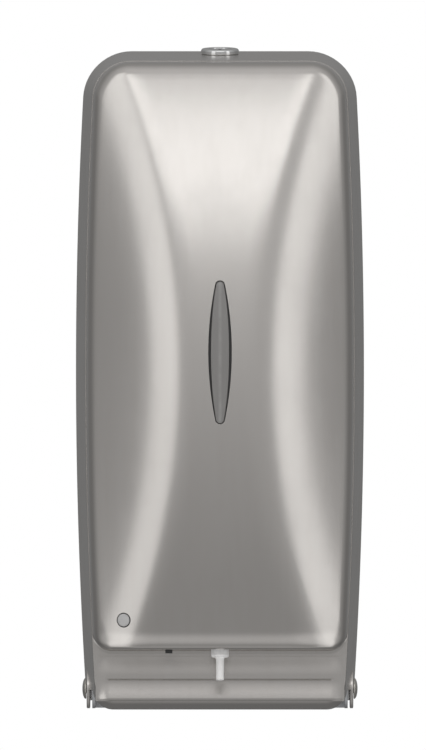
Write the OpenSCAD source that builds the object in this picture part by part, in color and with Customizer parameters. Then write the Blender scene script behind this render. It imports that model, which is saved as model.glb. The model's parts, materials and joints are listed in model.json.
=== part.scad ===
// Wall mounted soap dispenser: a stainless cover that swings down on two rivets over a refillable
// reservoir, a battery driven gear pump and a hand sensor. All sizes are in millimetres.
// Heights are measured up from the cover's lower edge and depths out from the wall. The finished
// parts are then moved so that the origin lies on the wall, midway between the four wall bolts.

/* [Overall size] */
// Width across the widest part of the cover
body_w = 145; // [138:1:180]
// Height of the cover, from its lower edge to its top
body_h = 330.5; // [275:0.5:400]
// Depth from the wall to the most forward point of the face
body_d = 104; // [86:1:125]

/* [Cover pressing] */
// Sheet thickness of the cover
cover_t = 1.2; // [1:0.1:1.6]
// How far the face stands ahead of the tray that carries it
bulge_d = 48; // [40:1:54]
// Gap between the wall and the cover's rear edge
rim_gap = 2; // [1:0.5:4]
// How far each side wall of the tray leans in
side_draft = 5; // [3:0.5:7]
// How far the top wall of the tray leans in
top_draft = 5.75; // [3:0.25:8]
// Fall of the side edges at one barrel span from the waist
barrel = 3.5; // [0:0.5:5]
// Distance from the waist at which the sides have fallen by that much
barrel_span = 135; // [120:5:160]
// Height of the widest line of the cover, where the face is also narrowest across its flat
waist_z = 170; // [140:5:190]
// Radius of the cover's top corners
top_r = 23; // [16:1:30]
// Radius of the cover's lower corners
low_r = 9.5; // [6:0.5:12]
// Width of the crease between the tray and the face
crease_w = 0.4; // [0.3:0.1:0.8]
// Width of the rolled edge at the sides and the top of the face
roll_w = 5; // [4:0.5:8]
// Height of the rolled nose over the shelf
nose_h = 10; // [8:0.5:14]
// Height of the shelf that the spout comes through
shelf_z = 30; // [26:1:36]
// Height of the flange that turns back under the apron
flange_h = 4; // [2:0.5:6]
// Depth of that flange
flange_d = 10; // [6:1:14]

/* [Face] */
// Height at which the face is most forward
crest_z = 137; // [110:1:160]
// How far the face falls back at its top edge
top_fall = 27; // [15:1:34]
// Steepest sideways fall of the face at the waist, in degrees
cheek_angle = 41; // [30:1:45]
// Steepest sideways fall of the face towards its top and bottom, in degrees
cheek_end_angle = 32; // [25:1:40]
// Half width of the flat band down the face, at the waist
flat_w = 9.5; // [8:0.5:14]
// Growth of that half width at one flat span from the waist
flat_gain = 18.5; // [10:0.5:24]
// Distance from the waist at which the flat band has grown by that much
flat_span = 115; // [100:5:140]
// Rounding of the cheeks at the waist
cheek_r = 36; // [25:1:45]
// Rounding of the cheeks at the top and the bottom of the face
cheek_end_r = 20; // [15:1:30]

/* [Apron pad] */
// Half width of the pad pressed into the apron
pad_half_w = 58; // [50:1:60]
// Height of the pad
pad_h = 21; // [16:0.5:22]
// How far the pad stands out of the apron
pad_rise = 2; // [1:0.25:3]
// Width of the groove along the middle of the pad
pad_groove = 1.5; // [1:0.25:3]

/* [Sight window and indicator] */
// Height of the middle of the sight window
sight_z = 178.75; // [165:0.25:190]
// Width of the sight window
sight_w = 11.7; // [8:0.1:14]
// Length of the sight window
sight_h = 71.5; // [50:0.5:80]
// Radius of the sight window's ends
sight_end_r = 2.5; // [1.5:0.1:4]
// Thickness of the sight window's pane
pane_t = 2; // [1.5:0.1:3]
// Place of the indicator across the cover, from its middle
lamp_x = -48; // [-50:1:-40]
// Height of the indicator
lamp_z = 45.5; // [44:0.5:50]
// Diameter of the indicator lens
lamp_d = 7; // [5:0.5:8]

/* [Hinge] */
// Height of the hinge rivets
pivot_z = 10; // [8:0.5:14]
// Distance of the hinge rivets from the wall
pivot_d = 14; // [12:1:18]
// Diameter of a rivet's shank
pivot_pin_d = 5; // [4:0.5:6]
// Diameter of a rivet's head
rivet_head_d = 9.5; // [8:0.5:12]
// Height of a rivet's head
rivet_head_h = 2; // [1:0.5:3]
// Radius of the ears that the rivets pass through
ear_r = 10; // [8:0.5:12]
// Gap between the cover's ears and the chassis
ear_gap = 1; // [0.6:0.1:2]
// Radial clearance of every turning fit
run_gap = 0.08; // [0.05:0.01:0.1]

/* [Lock] */
// Distance of the lock from the wall, where it meets the top wall
lock_d = 18; // [16:1:22]
// Diameter of the lock's head
lock_head_d = 19; // [16:0.5:22]
// Height of the lock's head
lock_head_h = 2.8; // [2:0.1:4]
// Diameter of the lock's barrel
lock_barrel_d = 15.8; // [12:0.1:16]
// Length of the lock's barrel under its head
lock_barrel_h = 20; // [16:1:24]
// Diameter of the turning plug
plug_d = 11; // [9:0.5:12]
// Reach of the cam from the lock's axis
cam_reach = 12.5; // [11:0.1:13]
// Width of the cam
cam_w = 8; // [6:0.5:9]
// Thickness of the cam
cam_t = 2; // [1.5:0.1:3]

/* [Chassis] */
// Thickness of the steel back plate
plate_t = 1.5; // [1.2:0.1:2]
// Gap between the back plate's top and the cover's top
plate_top_gap = 8.5; // [7:0.5:12]
// Distance between the wall bolts, across
bolt_pitch_x = 80; // [60:1:90]
// Height of the lower wall bolts
bolt_low_z = 45; // [43:1:46]
// Distance from the back plate's top down to the upper wall bolts
bolt_top_gap = 22; // [18:1:26]
// Diameter of the wall bolt holes
bolt_hole_d = 5.5; // [4.5:0.1:6.5]
// Thickness of the moulded pump frame
frame_t = 2.5; // [2:0.1:3]
// Height of the pump frame's floor, from its underside
frame_z = 36; // [34:0.5:40]
// Height of the shelf that the reservoir stands on, from its top
tank_z = 123; // [118:1:130]

/* [Reservoir] */
// Wall thickness of the reservoir
tank_t = 2; // [1.5:0.1:3]
// Gap between the reservoir's top and the cover's top
tank_top_gap = 42.5; // [38:0.5:60]
// Diameter of the filling neck
neck_d = 30; // [26:1:32]
// Height of the filling neck
neck_h = 12; // [10:1:14]
// Wall of the filling neck
neck_t = 2.5; // [2:0.1:3]
// Place of the filling neck across the reservoir
neck_x = 31; // [31:1:34]
// Distance of the filling neck from the wall
neck_y = 40; // [36:1:46]
// Thickness of the cap's wall
cap_t = 2.8; // [2.5:0.1:3]
// Thickness of the cap's gasket
gasket_t = 1.4; // [1:0.1:2]

/* [Pump and drive] */
// Height of the pump's gear axes
pump_z = 78; // [74:1:80]
// Teeth on each pump gear, and on the motor's pinion
small_teeth = 12; // [12:1:14]
// Teeth on the reduction gear
large_teeth = 36; // [34:1:38]
// Tooth module of the pump gears
pump_module = 1; // [0.9:0.05:1.1]
// Tooth module of the reduction gears
drive_module = 0.8; // [0.7:0.05:0.9]
// Width of the pump gears
pump_gear_w = 6; // [4:0.5:8]
// Width of the reduction gears
drive_gear_w = 5; // [4:0.5:6]
// Diameter of the pump's drive shaft
drive_shaft_d = 4; // [3:0.5:5]
// Diameter of the motor's can
motor_d = 24; // [20:1:24]
// Length of the motor's can
motor_l = 24; // [20:1:26]
// Outer diameter of the soap hoses
hose_d = 9; // [8:0.5:10]
// Bore of the soap hoses
hose_bore = 6; // [5:0.5:6]

/* [Spout and sensor] */
// Distance from the face's most forward point back to the spout
spout_back = 26; // [22:1:30]
// Lean of the spout towards the front, in degrees
spout_lean = 10; // [8:1:13]
// Diameter of the spout's tip
spout_d = 4; // [3.5:0.5:6]
// Length of the spout under the shelf
spout_l = 14.7; // [10:0.1:18]
// Diameter of the spout's collar
collar_d = 8.8; // [7:0.1:10]
// Length of the spout's collar under the shelf
collar_l = 3.2; // [2:0.1:5]
// Place of the sensor across the dispenser
sensor_x = -25.5; // [-30:0.5:-22]
// Width of the sensor's window
sensor_w = 3.5; // [3:0.5:6]

/* [Batteries] */
// Number of cells
cell_count = 4; // [4]
// Diameter of a cell
cell_d = 14.5; // [14:0.1:15]
// Length of a cell
cell_l = 50.5; // [49:0.5:51]

/* [Hidden] */
$fn = 48;

cheek_span = 150;    // distance from the waist at which the cheeks reach their end shape
fit = 0.15;      // gap of a piece that is pushed or dropped into place
eps = 0.02;      // overshoot of a cut
edge_n = 4;      // steps along half of each level's upper and lower edge
corner_n = 4;    // steps round each corner
side_n = 9;      // steps up each side
face_steps = [0.86, 0.72, 0.58, 0.45, 0.33, 0.22, 0.11];
roll_steps = [0, 0.28, 0.52, 0.76, 1];

tray_d = body_d - bulge_d;
crease_inset = side_draft + crease_w;
crease_top = body_h - top_draft - crease_w;
wall_lean = 0.8;
face_inset = crease_inset + roll_w;
face_low = shelf_z + nose_h;
face_top = crease_top - roll_w - 2;
face_mid = (face_low + face_top) / 2;
face_r = (pow(face_top - crest_z, 2) + pow(top_fall, 2)) / (2 * top_fall);
roll_d = 7;

ear_x = half_w(pivot_z) - side_draft * (pivot_d - rim_gap) / (tray_d - rim_gap) - cover_t - 0.1;
ear_t = cover_t + 0.6;
plate_half = ear_x - ear_gap;
plate_top = body_h - plate_top_gap;
bolt_top_z = plate_top - bolt_top_gap;
mount_z = (bolt_low_z + bolt_top_z) / 2;

inner_half = half_w(shelf_z) - face_inset - cover_t;
frame_half = inner_half - 1.2;
frame_floor = frame_z + frame_t;
frame_d = body_d - 20;
frame_screw_z = [frame_floor + 7, tank_z - frame_t - 4];
tank_half = frame_half - 1.8;
tank_back = 6;
tank_front = body_d - 26;
tank_top = body_h - tank_top_gap;

port_d = body_d - 36;
pump_gear_r = small_teeth * pump_module / 2;
pump_shift = pump_gear_r;
pump_pocket_r = pump_gear_r + 0.9 * pump_module + 0.1;
housing_half = pump_pocket_r + pump_shift + 4;
housing_half_h = pump_pocket_r + 5;
housing_back = port_d - pump_gear_w / 2 - 6;
housing_front = port_d + pump_gear_w / 2;
flange_t = 2;
case_front = housing_back - flange_t;
case_back = case_front - drive_gear_w - 6;
case_x = [-20, 41];
case_z = [pump_z - 19, pump_z + 26];
drive_angle = 30;
drive_centres = (small_teeth + large_teeth) * drive_module / 2;
motor_x = pump_shift + drive_centres * cos(drive_angle);
motor_z = pump_z + drive_centres * sin(drive_angle);
drive_gear_back = case_back + 3;

spout_at = body_d - spout_back;
sensor_at = spout_at - 1;
cradle_x = -frame_half + frame_t + 1;
cell_pitch = cell_d + 0.5;
cradle_w = cell_count * cell_pitch + 1.5;
cell_back = plate_t + frame_t + 2;
cell_z = frame_floor + 18;
board_x = frame_half - frame_t - 4;

lock_lean = atan(top_draft / (tray_d - rim_gap));
lock_top = body_h - top_draft * (lock_d - rim_gap) / (tray_d - rim_gap);
cam_drop = lock_barrel_h + 1;
catch_x = lock_barrel_d / 2 + 0.6;
cam_z = lock_top - (cam_drop + cam_t / 2) * cos(lock_lean);
cam_d = lock_d - (cam_drop + cam_t / 2) * sin(lock_lean);
catch_d = cam_d + cam_w / 2 + 2;

// The outlet hose, from the pump's lower spigot to the top of the spout
function spout_point(l) = [0, l * sin(spout_lean) - spout_at, shelf_z + l * cos(spout_lean)];
spout_top = frame_z - shelf_z + 13;
outlet_z = pump_z - housing_half_h - 7;
outlet_route = [
    [0, -port_d, outlet_z],
    [0, -port_d, outlet_z - 2],
    [0, -port_d - 1, outlet_z - 4],
    [0, -port_d - 3, outlet_z - 5.5],
    spout_point(spout_top + 2),
    spout_point(spout_top)
];

// ---- Places ----

// Moves a piece from heights above the cover's lower edge to the wall bolts' centre
module seat() { translate([0, 0, -mount_z]) children(); }

// A box between two places across, two depths and two heights
module block(xs, ds, zs) {
    translate([xs[0], -ds[1], zs[0]]) cube([xs[1] - xs[0], ds[1] - ds[0], zs[1] - zs[0]]);
}

// A round bar along the depth, across the dispenser, or upright
module bar_y(x, z, ds, r) {
    translate([x, -ds[0], z]) rotate([90, 0, 0]) cylinder(h = ds[1] - ds[0], r = r);
}
module bar_x(xs, d, z, r) {
    translate([xs[0], -d, z]) rotate([0, 90, 0]) cylinder(h = xs[1] - xs[0], r = r);
}
module bar_z(x, d, zs, r) {
    translate([x, -d, zs[0]]) cylinder(h = zs[1] - zs[0], r = r);
}

// An outline drawn across and up, extruded between two depths
module panel(ds) {
    translate([0, -ds[0], 0]) rotate([90, 0, 0]) linear_extrude(ds[1] - ds[0]) children();
}

module both_sides() {
    children();
    mirror([1, 0, 0]) children();
}

module at_lock() { translate([0, -lock_d, lock_top]) rotate([lock_lean, 0, 0]) children(); }

module at_spout() { translate([0, -spout_at, shelf_z]) rotate([-spout_lean, 0, 0]) children(); }

module at_lamp() {
    fall_x = face_depth(lamp_x + 0.5, lamp_z) - face_depth(lamp_x - 0.5, lamp_z);
    fall_z = face_depth(lamp_x, lamp_z + 0.5) - face_depth(lamp_x, lamp_z - 0.5);
    translate([lamp_x, -face_depth(lamp_x, lamp_z), lamp_z])
        rotate([0, 0, -atan(fall_x)]) rotate([90 + atan(fall_z), 0, 0]) children();
}

// ---- The cover's surface ----

function half_w(z) = body_w / 2 - barrel * pow((z - waist_z) / barrel_span, 2);
function flat_half(z) = flat_w + flat_gain * pow((z - waist_z) / flat_span, 2);
function off_waist(z) = min(1, pow((z - waist_z) / cheek_span, 2));
function cheek_round(z) = cheek_r - (cheek_r - cheek_end_r) * off_waist(z);
function cheek_slope(z) = tan(cheek_angle - (cheek_angle - cheek_end_angle) * off_waist(z));
function cheek_fall(u, z) = let (q = cheek_round(z)) cheek_slope(z) * (sqrt(q * q + u * u) - q);
function side_fall(z) = face_r - sqrt(face_r * face_r - pow(z - crest_z, 2));
function face_depth(x, z) =
    body_d - side_fall(z) - cheek_fall(max(abs(x) - flat_half(z), 0), z);

// How deep a piece at x, z can stand without touching the cover
function room(x, z) = face_depth(x, z) - cover_t - 0.5;

// Right half of a rounded outline with barrel sides, from the middle of its lower edge to its top
function half_outline(inset, z0, z1, r0, r1) = concat(
    [for (i = [0:edge_n - 1]) [i / edge_n * (half_w(z0) - inset - r0), z0]],
    [for (i = [0:corner_n]) let (a = 90 * i / corner_n, z = z0 + r0 * (1 - cos(a)))
        [half_w(z) - inset - r0 * (1 - sin(a)), z]],
    [for (i = [1:side_n - 1]) let (z = z0 + r0 + (z1 - r1 - z0 - r0) * i / side_n)
        [half_w(z) - inset, z]],
    [for (i = [0:corner_n]) let (a = 90 * i / corner_n, z = z1 - r1 * (1 - sin(a)))
        [half_w(z) - inset - r1 * (1 - cos(a)), z]],
    [for (i = [1:edge_n]) [(1 - i / edge_n) * (half_w(z1) - inset - r1), z1]]
);
function outline(inset, z0, z1, r0, r1) = let (half = half_outline(inset, z0, z1, r0, r1))
    concat(half, [for (i = [len(half) - 2:-1:1]) [-half[i][0], half[i][1]]]);
function level(points, depth) = [for (p = points) [p[0], -depth, p[1]]];
function centre_of(ring) = [0, (ring[0][1] + ring[len(ring) / 2][1]) / 2];

// One skin of the pressing, sunk by t, as levels from the rear rim to the middle of the face
function skin(t) = let (
    back = outline(t, t, body_h - t, low_r, top_r - t),
    turn = (tray_d - flange_d - rim_gap) / (tray_d - rim_gap),
    flange = outline(side_draft * turn + t, t, body_h - top_draft * turn - t, low_r, top_r - 4 * turn - t),
    front = outline(side_draft + t, flange_h + t, body_h - top_draft - t, low_r, top_r - 5 - t),
    base = outline(crease_inset + t, shelf_z + t, crease_top - t, low_r - 2, top_r - 5.4 - t),
    wall = outline(crease_inset + wall_lean + t, shelf_z + wall_lean + t, crease_top - wall_lean - t,
        low_r - 2, top_r - 6 - t),
    face = outline(face_inset, face_low, face_top, low_r, top_r - 9),
    mid = centre_of(face)
) concat(
    [level(back, rim_gap), level(flange, tray_d - flange_d), level(front, tray_d - t),
        level(base, tray_d - t)],
    [for (s = roll_steps) [for (i = [0:len(wall) - 1]) let (
        p = wall[i] * (1 - s * s) + face[i] * s * s,
        corner = face_depth(wall[i][0], wall[i][1]) - t,
        edge = face_depth(face[i][0], face[i][1]) - t,
        d = pow(1 - s, 2) * (corner - roll_d) + 2 * s * (1 - s) * corner + s * s * edge
    ) [p[0], -d, p[1]]]],
    [for (f = face_steps) [for (e = face) let (p = mid + (e - mid) * f)
        [p[0], t - face_depth(p[0], p[1]), p[1]]]]
);

// A closed solid from a chain of levels, with a point in the middle of each end
module lofted(levels, first, last) {
    n = len(levels[0]);
    rows = len(levels);
    points = concat([for (ring = levels) each ring], [first, last]);
    sides = [for (k = [0:rows - 2], i = [0:n - 1]) let (
        a = k * n + i, b = k * n + (i + 1) % n, c = b + n, d = a + n
    ) each [[a, d, c], [a, c, b]]];
    start = [for (i = [0:n - 1]) [rows * n, i, (i + 1) % n]];
    end = [for (i = [0:n - 1]) [rows * n + 1, (rows - 1) * n + (i + 1) % n, (rows - 1) * n + i]];
    polyhedron(points, concat(sides, start, end), convexity = 8);
}

module pressing() {
    inside = skin(cover_t);
    lofted(
        concat([for (k = [len(inside) - 1:-1:0]) inside[k]], skin(0)),
        [0, cover_t - face_depth(0, face_mid), face_mid],
        [0, -face_depth(0, face_mid), face_mid]
    );
}

// Part of the face's own curve at the middle of the cover, between two distances behind it
module behind_face(gaps) {
    d = body_d - face_r;
    difference() {
        bar_x([-40, 40], d, crest_z, face_r - gaps[0], $fn = 96);
        bar_x([-41, 41], d, crest_z, face_r - gaps[1], $fn = 96);
    }
}

// Outline of the sight window, a pointed oval with rounded ends
module sight_outline(grow) {
    end_z = sight_h / 2 - sight_end_r;
    side_r = (pow(end_z, 2) + pow(sight_w / 2 - sight_end_r, 2)) / (sight_w - 2 * sight_end_r);
    translate([0, sight_z]) {
        intersection() {
            translate([sight_w / 2 - side_r, 0]) circle(r = side_r + grow, $fn = 96);
            translate([side_r - sight_w / 2, 0]) circle(r = side_r + grow, $fn = 96);
            square([4 * sight_w, 2 * end_z], center = true);
        }
        for (s = [-1, 1]) translate([0, s * end_z]) circle(r = sight_end_r + grow);
    }
}

// ---- Chassis ----

module back_plate() color("gainsboro") seat() difference() {
    corner = top_r - 3;
    union() {
        panel([0, plate_t]) {
            translate([-plate_half, 0]) square([2 * plate_half, plate_top - corner]);
            translate([corner - plate_half, 0]) square([2 * (plate_half - corner), plate_top]);
            for (s = [-1, 1]) translate([s * (plate_half - corner), plate_top - corner])
                circle(r = corner, $fn = 64);
        }
        both_sides() {
            bar_x([plate_half - plate_t, plate_half], pivot_d, pivot_z, ear_r);
            block([plate_half - plate_t, plate_half], [0, pivot_d], [0, pivot_z + ear_r]);
        }
    }
    both_sides() {
        bar_x([plate_half - 3 * plate_t, plate_half + 1], pivot_d, pivot_z, pivot_pin_d / 2);
        for (z = [bolt_low_z, bolt_top_z])
            bar_y(bolt_pitch_x / 2, z, [-1, plate_t + 1], bolt_hole_d / 2);
    }
}

// Hook that the lock's cam turns behind
module lock_catch() color("silver") seat() {
    low = cam_z - 7;
    block([catch_x, catch_x + 20], [plate_t, 2 * plate_t], [low, cam_z + 4]);
    block([catch_x, catch_x + 6], [2 * plate_t, catch_d + plate_t], [low, low + plate_t]);
    block([catch_x, catch_x + 6], [catch_d, catch_d + plate_t], [low + plate_t, cam_z + 3.5]);
}

module hinge_rivets() color("silver") seat() both_sides() {
    head_x = ear_x + ear_t + 0.2;
    bar_x([plate_half - plate_t, head_x], pivot_d, pivot_z, pivot_pin_d / 2);
    bar_x([plate_half - plate_t - 1.2, plate_half - plate_t], pivot_d, pivot_z, pivot_pin_d / 2 + 1);
    translate([head_x, -pivot_d, pivot_z]) rotate([0, 90, 0])
        cylinder(h = rivet_head_h, r1 = rivet_head_d / 2, r2 = rivet_head_d / 2 - 2);
}

module hinge_washers() color("white") seat() both_sides() difference() {
    bar_x([plate_half + 0.05, ear_x - 0.05], pivot_d, pivot_z, pivot_pin_d / 2 + 3.5);
    bar_x([plate_half, ear_x], pivot_d, pivot_z, pivot_pin_d / 2 + run_gap);
}

// ---- Pump frame ----

// A shelf between two depths and two heights, whose front corners keep behind the cheeks
module frame_shelf(ds, zs) {
    corner_w = 15;
    corner_d = min([ds[1], for (z = zs) room(frame_half, z)]);
    front = [[corner_w - frame_half, -ds[1]], [frame_half - corner_w, -ds[1]]];
    side = [[frame_half, -corner_d], [frame_half, -ds[0]], [-frame_half, -ds[0]], [-frame_half, -corner_d]];
    translate([0, 0, zs[0]]) linear_extrude(zs[1] - zs[0]) polygon(concat(front, side));
}

module pump_frame() color("dimgray") seat() difference() {
    back = [plate_t, plate_t + frame_t];
    union() {
        block([-frame_half, frame_half], back, [frame_z, tank_z]);
        frame_shelf([back[1], frame_d], [frame_z, frame_floor]);
        frame_shelf([back[1], tank_front], [tank_z - frame_t, tank_z]);
        both_sides()
            block([frame_half - frame_t, frame_half], [back[1], tray_d], [frame_floor, tank_z - frame_t]);
        at_spout() translate([0, 0, frame_z - shelf_z + 1]) cylinder(h = 5, r = collar_d / 2 + 5);
    }
    at_spout() translate([0, 0, -5]) cylinder(h = 30, r = collar_d / 2 + 1 + fit);
    bar_z(0, port_d, [tank_z - frame_t - 1, tank_z + 1], 10.5);
    block([sensor_x - sensor_w / 2 - fit, sensor_x + sensor_w / 2 + fit],
        [sensor_at - 4 - fit, sensor_at + 4 + fit], [frame_z - 1, frame_floor + 1]);
    both_sides() {
        bar_y(bolt_pitch_x / 2, bolt_low_z, [0, back[1] + 1], 7);
        for (z = frame_screw_z) bar_y(frame_half - 6, z, [0, back[1] + 1], 1.6);
    }
}

// A pan head screw, pointing at the wall, with its head standing in front of a depth
module screw_back(x, z, d, length, r = 1.5, head_r = 3) {
    difference() {
        bar_y(x, z, [d, d + 1.6], head_r);
        block([x - head_r, x + head_r], [d + 0.9, d + 2], [z - 0.35, z + 0.35]);
    }
    bar_y(x, z, [d - length, d], r);
}

module frame_screws() color("silver") seat() both_sides()
    for (z = frame_screw_z) screw_back(frame_half - 6, z, plate_t + frame_t, frame_t);

// ---- Reservoir ----

module tank_outline(sink) {
    front_r = max(22, 0.4 * tank_half);
    back_r = 8;
    w = tank_half - sink;
    back = tank_back + sink;
    front = tank_front - sink;
    f = front_r - sink;
    b = back_r - sink;
    mirror([0, 1]) {
        translate([-w, back + b]) square([2 * w, front - f - back - b]);
        translate([f - w, front - f - eps]) square([2 * (w - f), f + eps]);
        translate([b - w, back]) square([2 * (w - b), b + eps]);
        for (s = [-1, 1]) {
            translate([s * (w - f), front - f]) circle(r = f, $fn = 64);
            translate([s * (w - b), back + b]) circle(r = b);
        }
    }
}

module reservoir() color("aliceblue") seat() difference() {
    union() {
        translate([0, 0, tank_z]) linear_extrude(tank_top - tank_z) tank_outline(0);
        bar_z(neck_x, neck_y, [tank_top - 1, tank_top + neck_h], neck_d / 2);
    }
    translate([0, 0, tank_z + tank_t]) linear_extrude(tank_top - tank_z - 2 * tank_t) tank_outline(tank_t);
    bar_z(neck_x, neck_y, [tank_top - 2 * tank_t, tank_top + neck_h + 1], neck_d / 2 - neck_t);
    bar_z(0, port_d, [tank_z - 1, tank_z + tank_t + 1], 5);
}

// Spring clip that holds the reservoir's top back to the plate
module reservoir_clip() color("silver") seat() {
    x = [-40, -18];
    block(x, [plate_t, plate_t + 1], [tank_top - 12, tank_top + 6]);
    block(x, [plate_t + 1, tank_back + 14], [tank_top + 0.1, tank_top + 1.1]);
    block(x, [tank_back + 13, tank_back + 14], [tank_top + 1.1, tank_top + 5]);
}

module filler_cap() color("white") seat() difference() {
    r = neck_d / 2 + run_gap + cap_t;
    top = tank_top + neck_h + gasket_t;
    bar_z(neck_x, neck_y, [tank_top + 1.5, top + cap_t], r);
    bar_z(neck_x, neck_y, [tank_top, top], neck_d / 2 + run_gap);
    for (a = [0:15:345]) translate([neck_x, -neck_y, 0]) rotate(a)
        translate([r + 0.7, 0, tank_top]) cylinder(h = neck_h + 10, r = 1.2, $fn = 16);
}

module cap_gasket() color("black") seat() difference() {
    z = tank_top + neck_h;
    bar_z(neck_x, neck_y, [z + 0.05, z + gasket_t], neck_d / 2 - 0.2);
    bar_z(neck_x, neck_y, [z, z + gasket_t + 1], neck_d / 2 - neck_t);
}

// Spigot that the reservoir drains through
fitting_low = tank_z - 19;
module outlet_fitting() color("goldenrod") seat() difference() {
    union() {
        bar_z(0, port_d, [fitting_low, tank_z - 6], hose_bore / 2);
        bar_z(0, port_d, [tank_z - 7, tank_z + tank_t + 1.6], 5 - fit);
        bar_z(0, port_d, [tank_z + tank_t + 1.5, tank_z + tank_t + 3.5], 6.5, $fn = 6);
    }
    bar_z(0, port_d, [fitting_low - 1, tank_z + 10], hose_bore / 2 - 1);
}

module outlet_oring() color("black") seat() translate([0, -port_d, tank_z + tank_t + 0.75])
    rotate_extrude() translate([5.75, 0]) circle(r = 0.74);

module outlet_nut() color("goldenrod") seat() difference() {
    bar_z(0, port_d, [tank_z - 5.5, tank_z - 0.1], 9, $fn = 6);
    bar_z(0, port_d, [tank_z - 6, tank_z + 1], 5);
}

// ---- Pump and drive ----

housing_top = pump_z + housing_half_h;
housing_low = pump_z - housing_half_h;

module inlet_hose() color("lightblue") seat() difference() {
    zs = [housing_top + 1.5, tank_z - 8];
    bar_z(0, port_d, zs, hose_d / 2);
    bar_z(0, port_d, [zs[0] - 1, zs[1] + 1], hose_bore / 2);
}

module hose_clamps() color("silver") seat()
    for (z = [housing_top + 4, tank_z - 14]) difference() {
        bar_z(0, port_d, [z, z + 3], hose_d / 2 + 0.8);
        bar_z(0, port_d, [z - 1, z + 4], hose_d / 2);
    }

// One tooth gear outline, with the teeth thinned by the backlash
function roll_turn(r, base) = let (a = acos(min(1, base / r))) tan(a) * 180 / PI - a;
function tooth_side(teeth, m) = let (
    pitch = teeth * m / 2,
    base = pitch * cos(25),
    half = 90 / teeth - 0.09 * m / pitch * 180 / PI + roll_turn(pitch, base),
    root = pitch - 1.2 * m,
    low = max(base, root),
    high = pitch + 0.9 * m,
    step = (high - low) / 4
) concat([[root, half]], [for (i = [0:4]) let (r = low + i * step) [r, half - roll_turn(r, base)]]);

module gear_outline(teeth, m) polygon([for (k = [0:teeth - 1])
    let (side = tooth_side(teeth, m), turn = 360 * k / teeth) each concat(
        [for (p = side) p[0] * [cos(turn - p[1]), sin(turn - p[1])]],
        [for (i = [len(side) - 1:-1:0]) side[i][0] * [cos(turn + side[i][1]), sin(turn + side[i][1])]]
    )
]);

module gear(x, z, ds, teeth, m, phase) {
    translate([x, 0, z]) panel(ds) rotate(phase) gear_outline(teeth, m);
}

pump_gear_ds = [port_d - pump_gear_w / 2 + 0.1, port_d + pump_gear_w / 2 - 0.1];
drive_gear_ds = [drive_gear_back, drive_gear_back + drive_gear_w];

module drive_gear() color("ivory") seat() {
    gear(pump_shift, pump_z, drive_gear_ds, large_teeth, drive_module, 0);
    gear(pump_shift, pump_z, pump_gear_ds, small_teeth, pump_module, 0);
    bar_y(pump_shift, pump_z, [case_back + 0.5, pump_gear_ds[1]], drive_shaft_d / 2);
}

module idler_gear() color("ivory") seat() {
    gear(-pump_shift, pump_z, pump_gear_ds, small_teeth, pump_module, 180 / small_teeth);
    bar_y(-pump_shift, pump_z, [pump_gear_ds[0] - 4, pump_gear_ds[1]], drive_shaft_d / 2);
}

module motor_pinion() color("goldenrod") seat() {
    gear(motor_x, motor_z, drive_gear_ds, small_teeth, drive_module, 180 + drive_angle + 180 / small_teeth);
    bar_y(motor_x, motor_z, [case_back - 6, drive_gear_ds[1] + 1], 1);
}

// Moulded case around the reduction gears, standing on the pump frame's floor
module gear_case() color("slategray") seat() difference() {
    union() {
        block(case_x, [case_back, case_front], case_z);
        for (x = [case_x[0] + 6, case_x[1] - 14])
            block([x, x + 6], [case_back, case_front], [frame_floor, case_z[0]]);
    }
    bar_y(pump_shift, pump_z, [case_back + 2, case_front + 1], large_teeth * drive_module / 2 + 2);
    bar_y(motor_x, motor_z, [case_back + 2, case_front + 1], small_teeth * drive_module / 2 + 2);
    bar_y(pump_shift, pump_z, [case_back - 1, case_back + 3], drive_shaft_d / 2 + run_gap);
    bar_y(motor_x, motor_z, [case_back - 1, case_back + 3], 3);
    for (p = case_screw_places()) bar_y(p[0], p[1], [case_back + 3, case_front + 1], 1.5);
}

function case_screw_places() = [
    for (x = [case_x[0] + 3.5, case_x[1] - 3.5], z = [case_z[0] + 3.5, case_z[1] - 3.5]) [x, z]
];
function pump_screw_places() = [for (x = [-1, 1], z = [-1, 1])
    [x * (housing_half - 2.6), pump_z + z * (housing_half_h - 2.6)]];

module case_screws() color("silver") seat()
    for (p = case_screw_places()) screw_back(p[0], p[1], case_front + flange_t, 8, head_r = 2.6);

module pump_housing() color("whitesmoke") seat() difference() {
    x = [-housing_half, housing_half];
    union() {
        block(case_x, [case_front, case_front + flange_t], case_z);
        block(x, [case_front + flange_t - eps, housing_front], [housing_low, housing_top]);
        bar_z(0, port_d, [housing_top - 1, housing_top + 10], hose_bore / 2);
        bar_z(0, port_d, [housing_low - 7, housing_low + 1], hose_bore / 2);
    }
    for (s = [-1, 1])
        bar_y(s * pump_shift, pump_z, [pump_gear_ds[0] - 0.1, housing_front + 1], pump_pocket_r);
    bar_y(pump_shift, pump_z, [case_front - 1, pump_gear_ds[0]], drive_shaft_d / 2 + run_gap);
    bar_y(pump_shift, pump_z, [case_front - 1, case_front + 3], drive_shaft_d / 2 + 2);
    bar_y(-pump_shift, pump_z, [pump_gear_ds[0] - 4.2, pump_gear_ds[0]], drive_shaft_d / 2 + run_gap);
    bar_z(0, port_d, [pump_z, housing_top + 11], hose_bore / 2 - 1);
    bar_z(0, port_d, [housing_low - 8, pump_z], hose_bore / 2 - 1);
    for (p = pump_screw_places()) bar_y(p[0], p[1], [housing_front - 6, housing_front + 1], 1.1);
    for (p = case_screw_places()) bar_y(p[0], p[1], [case_front - 1, case_front + 3], 1.5);
}

module shaft_seal() color("black") seat() difference() {
    bar_y(pump_shift, pump_z, [case_front + 0.2, case_front + 3], drive_shaft_d / 2 + 2);
    bar_y(pump_shift, pump_z, [case_front - 1, case_front + 4], drive_shaft_d / 2 + run_gap);
}

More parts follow.
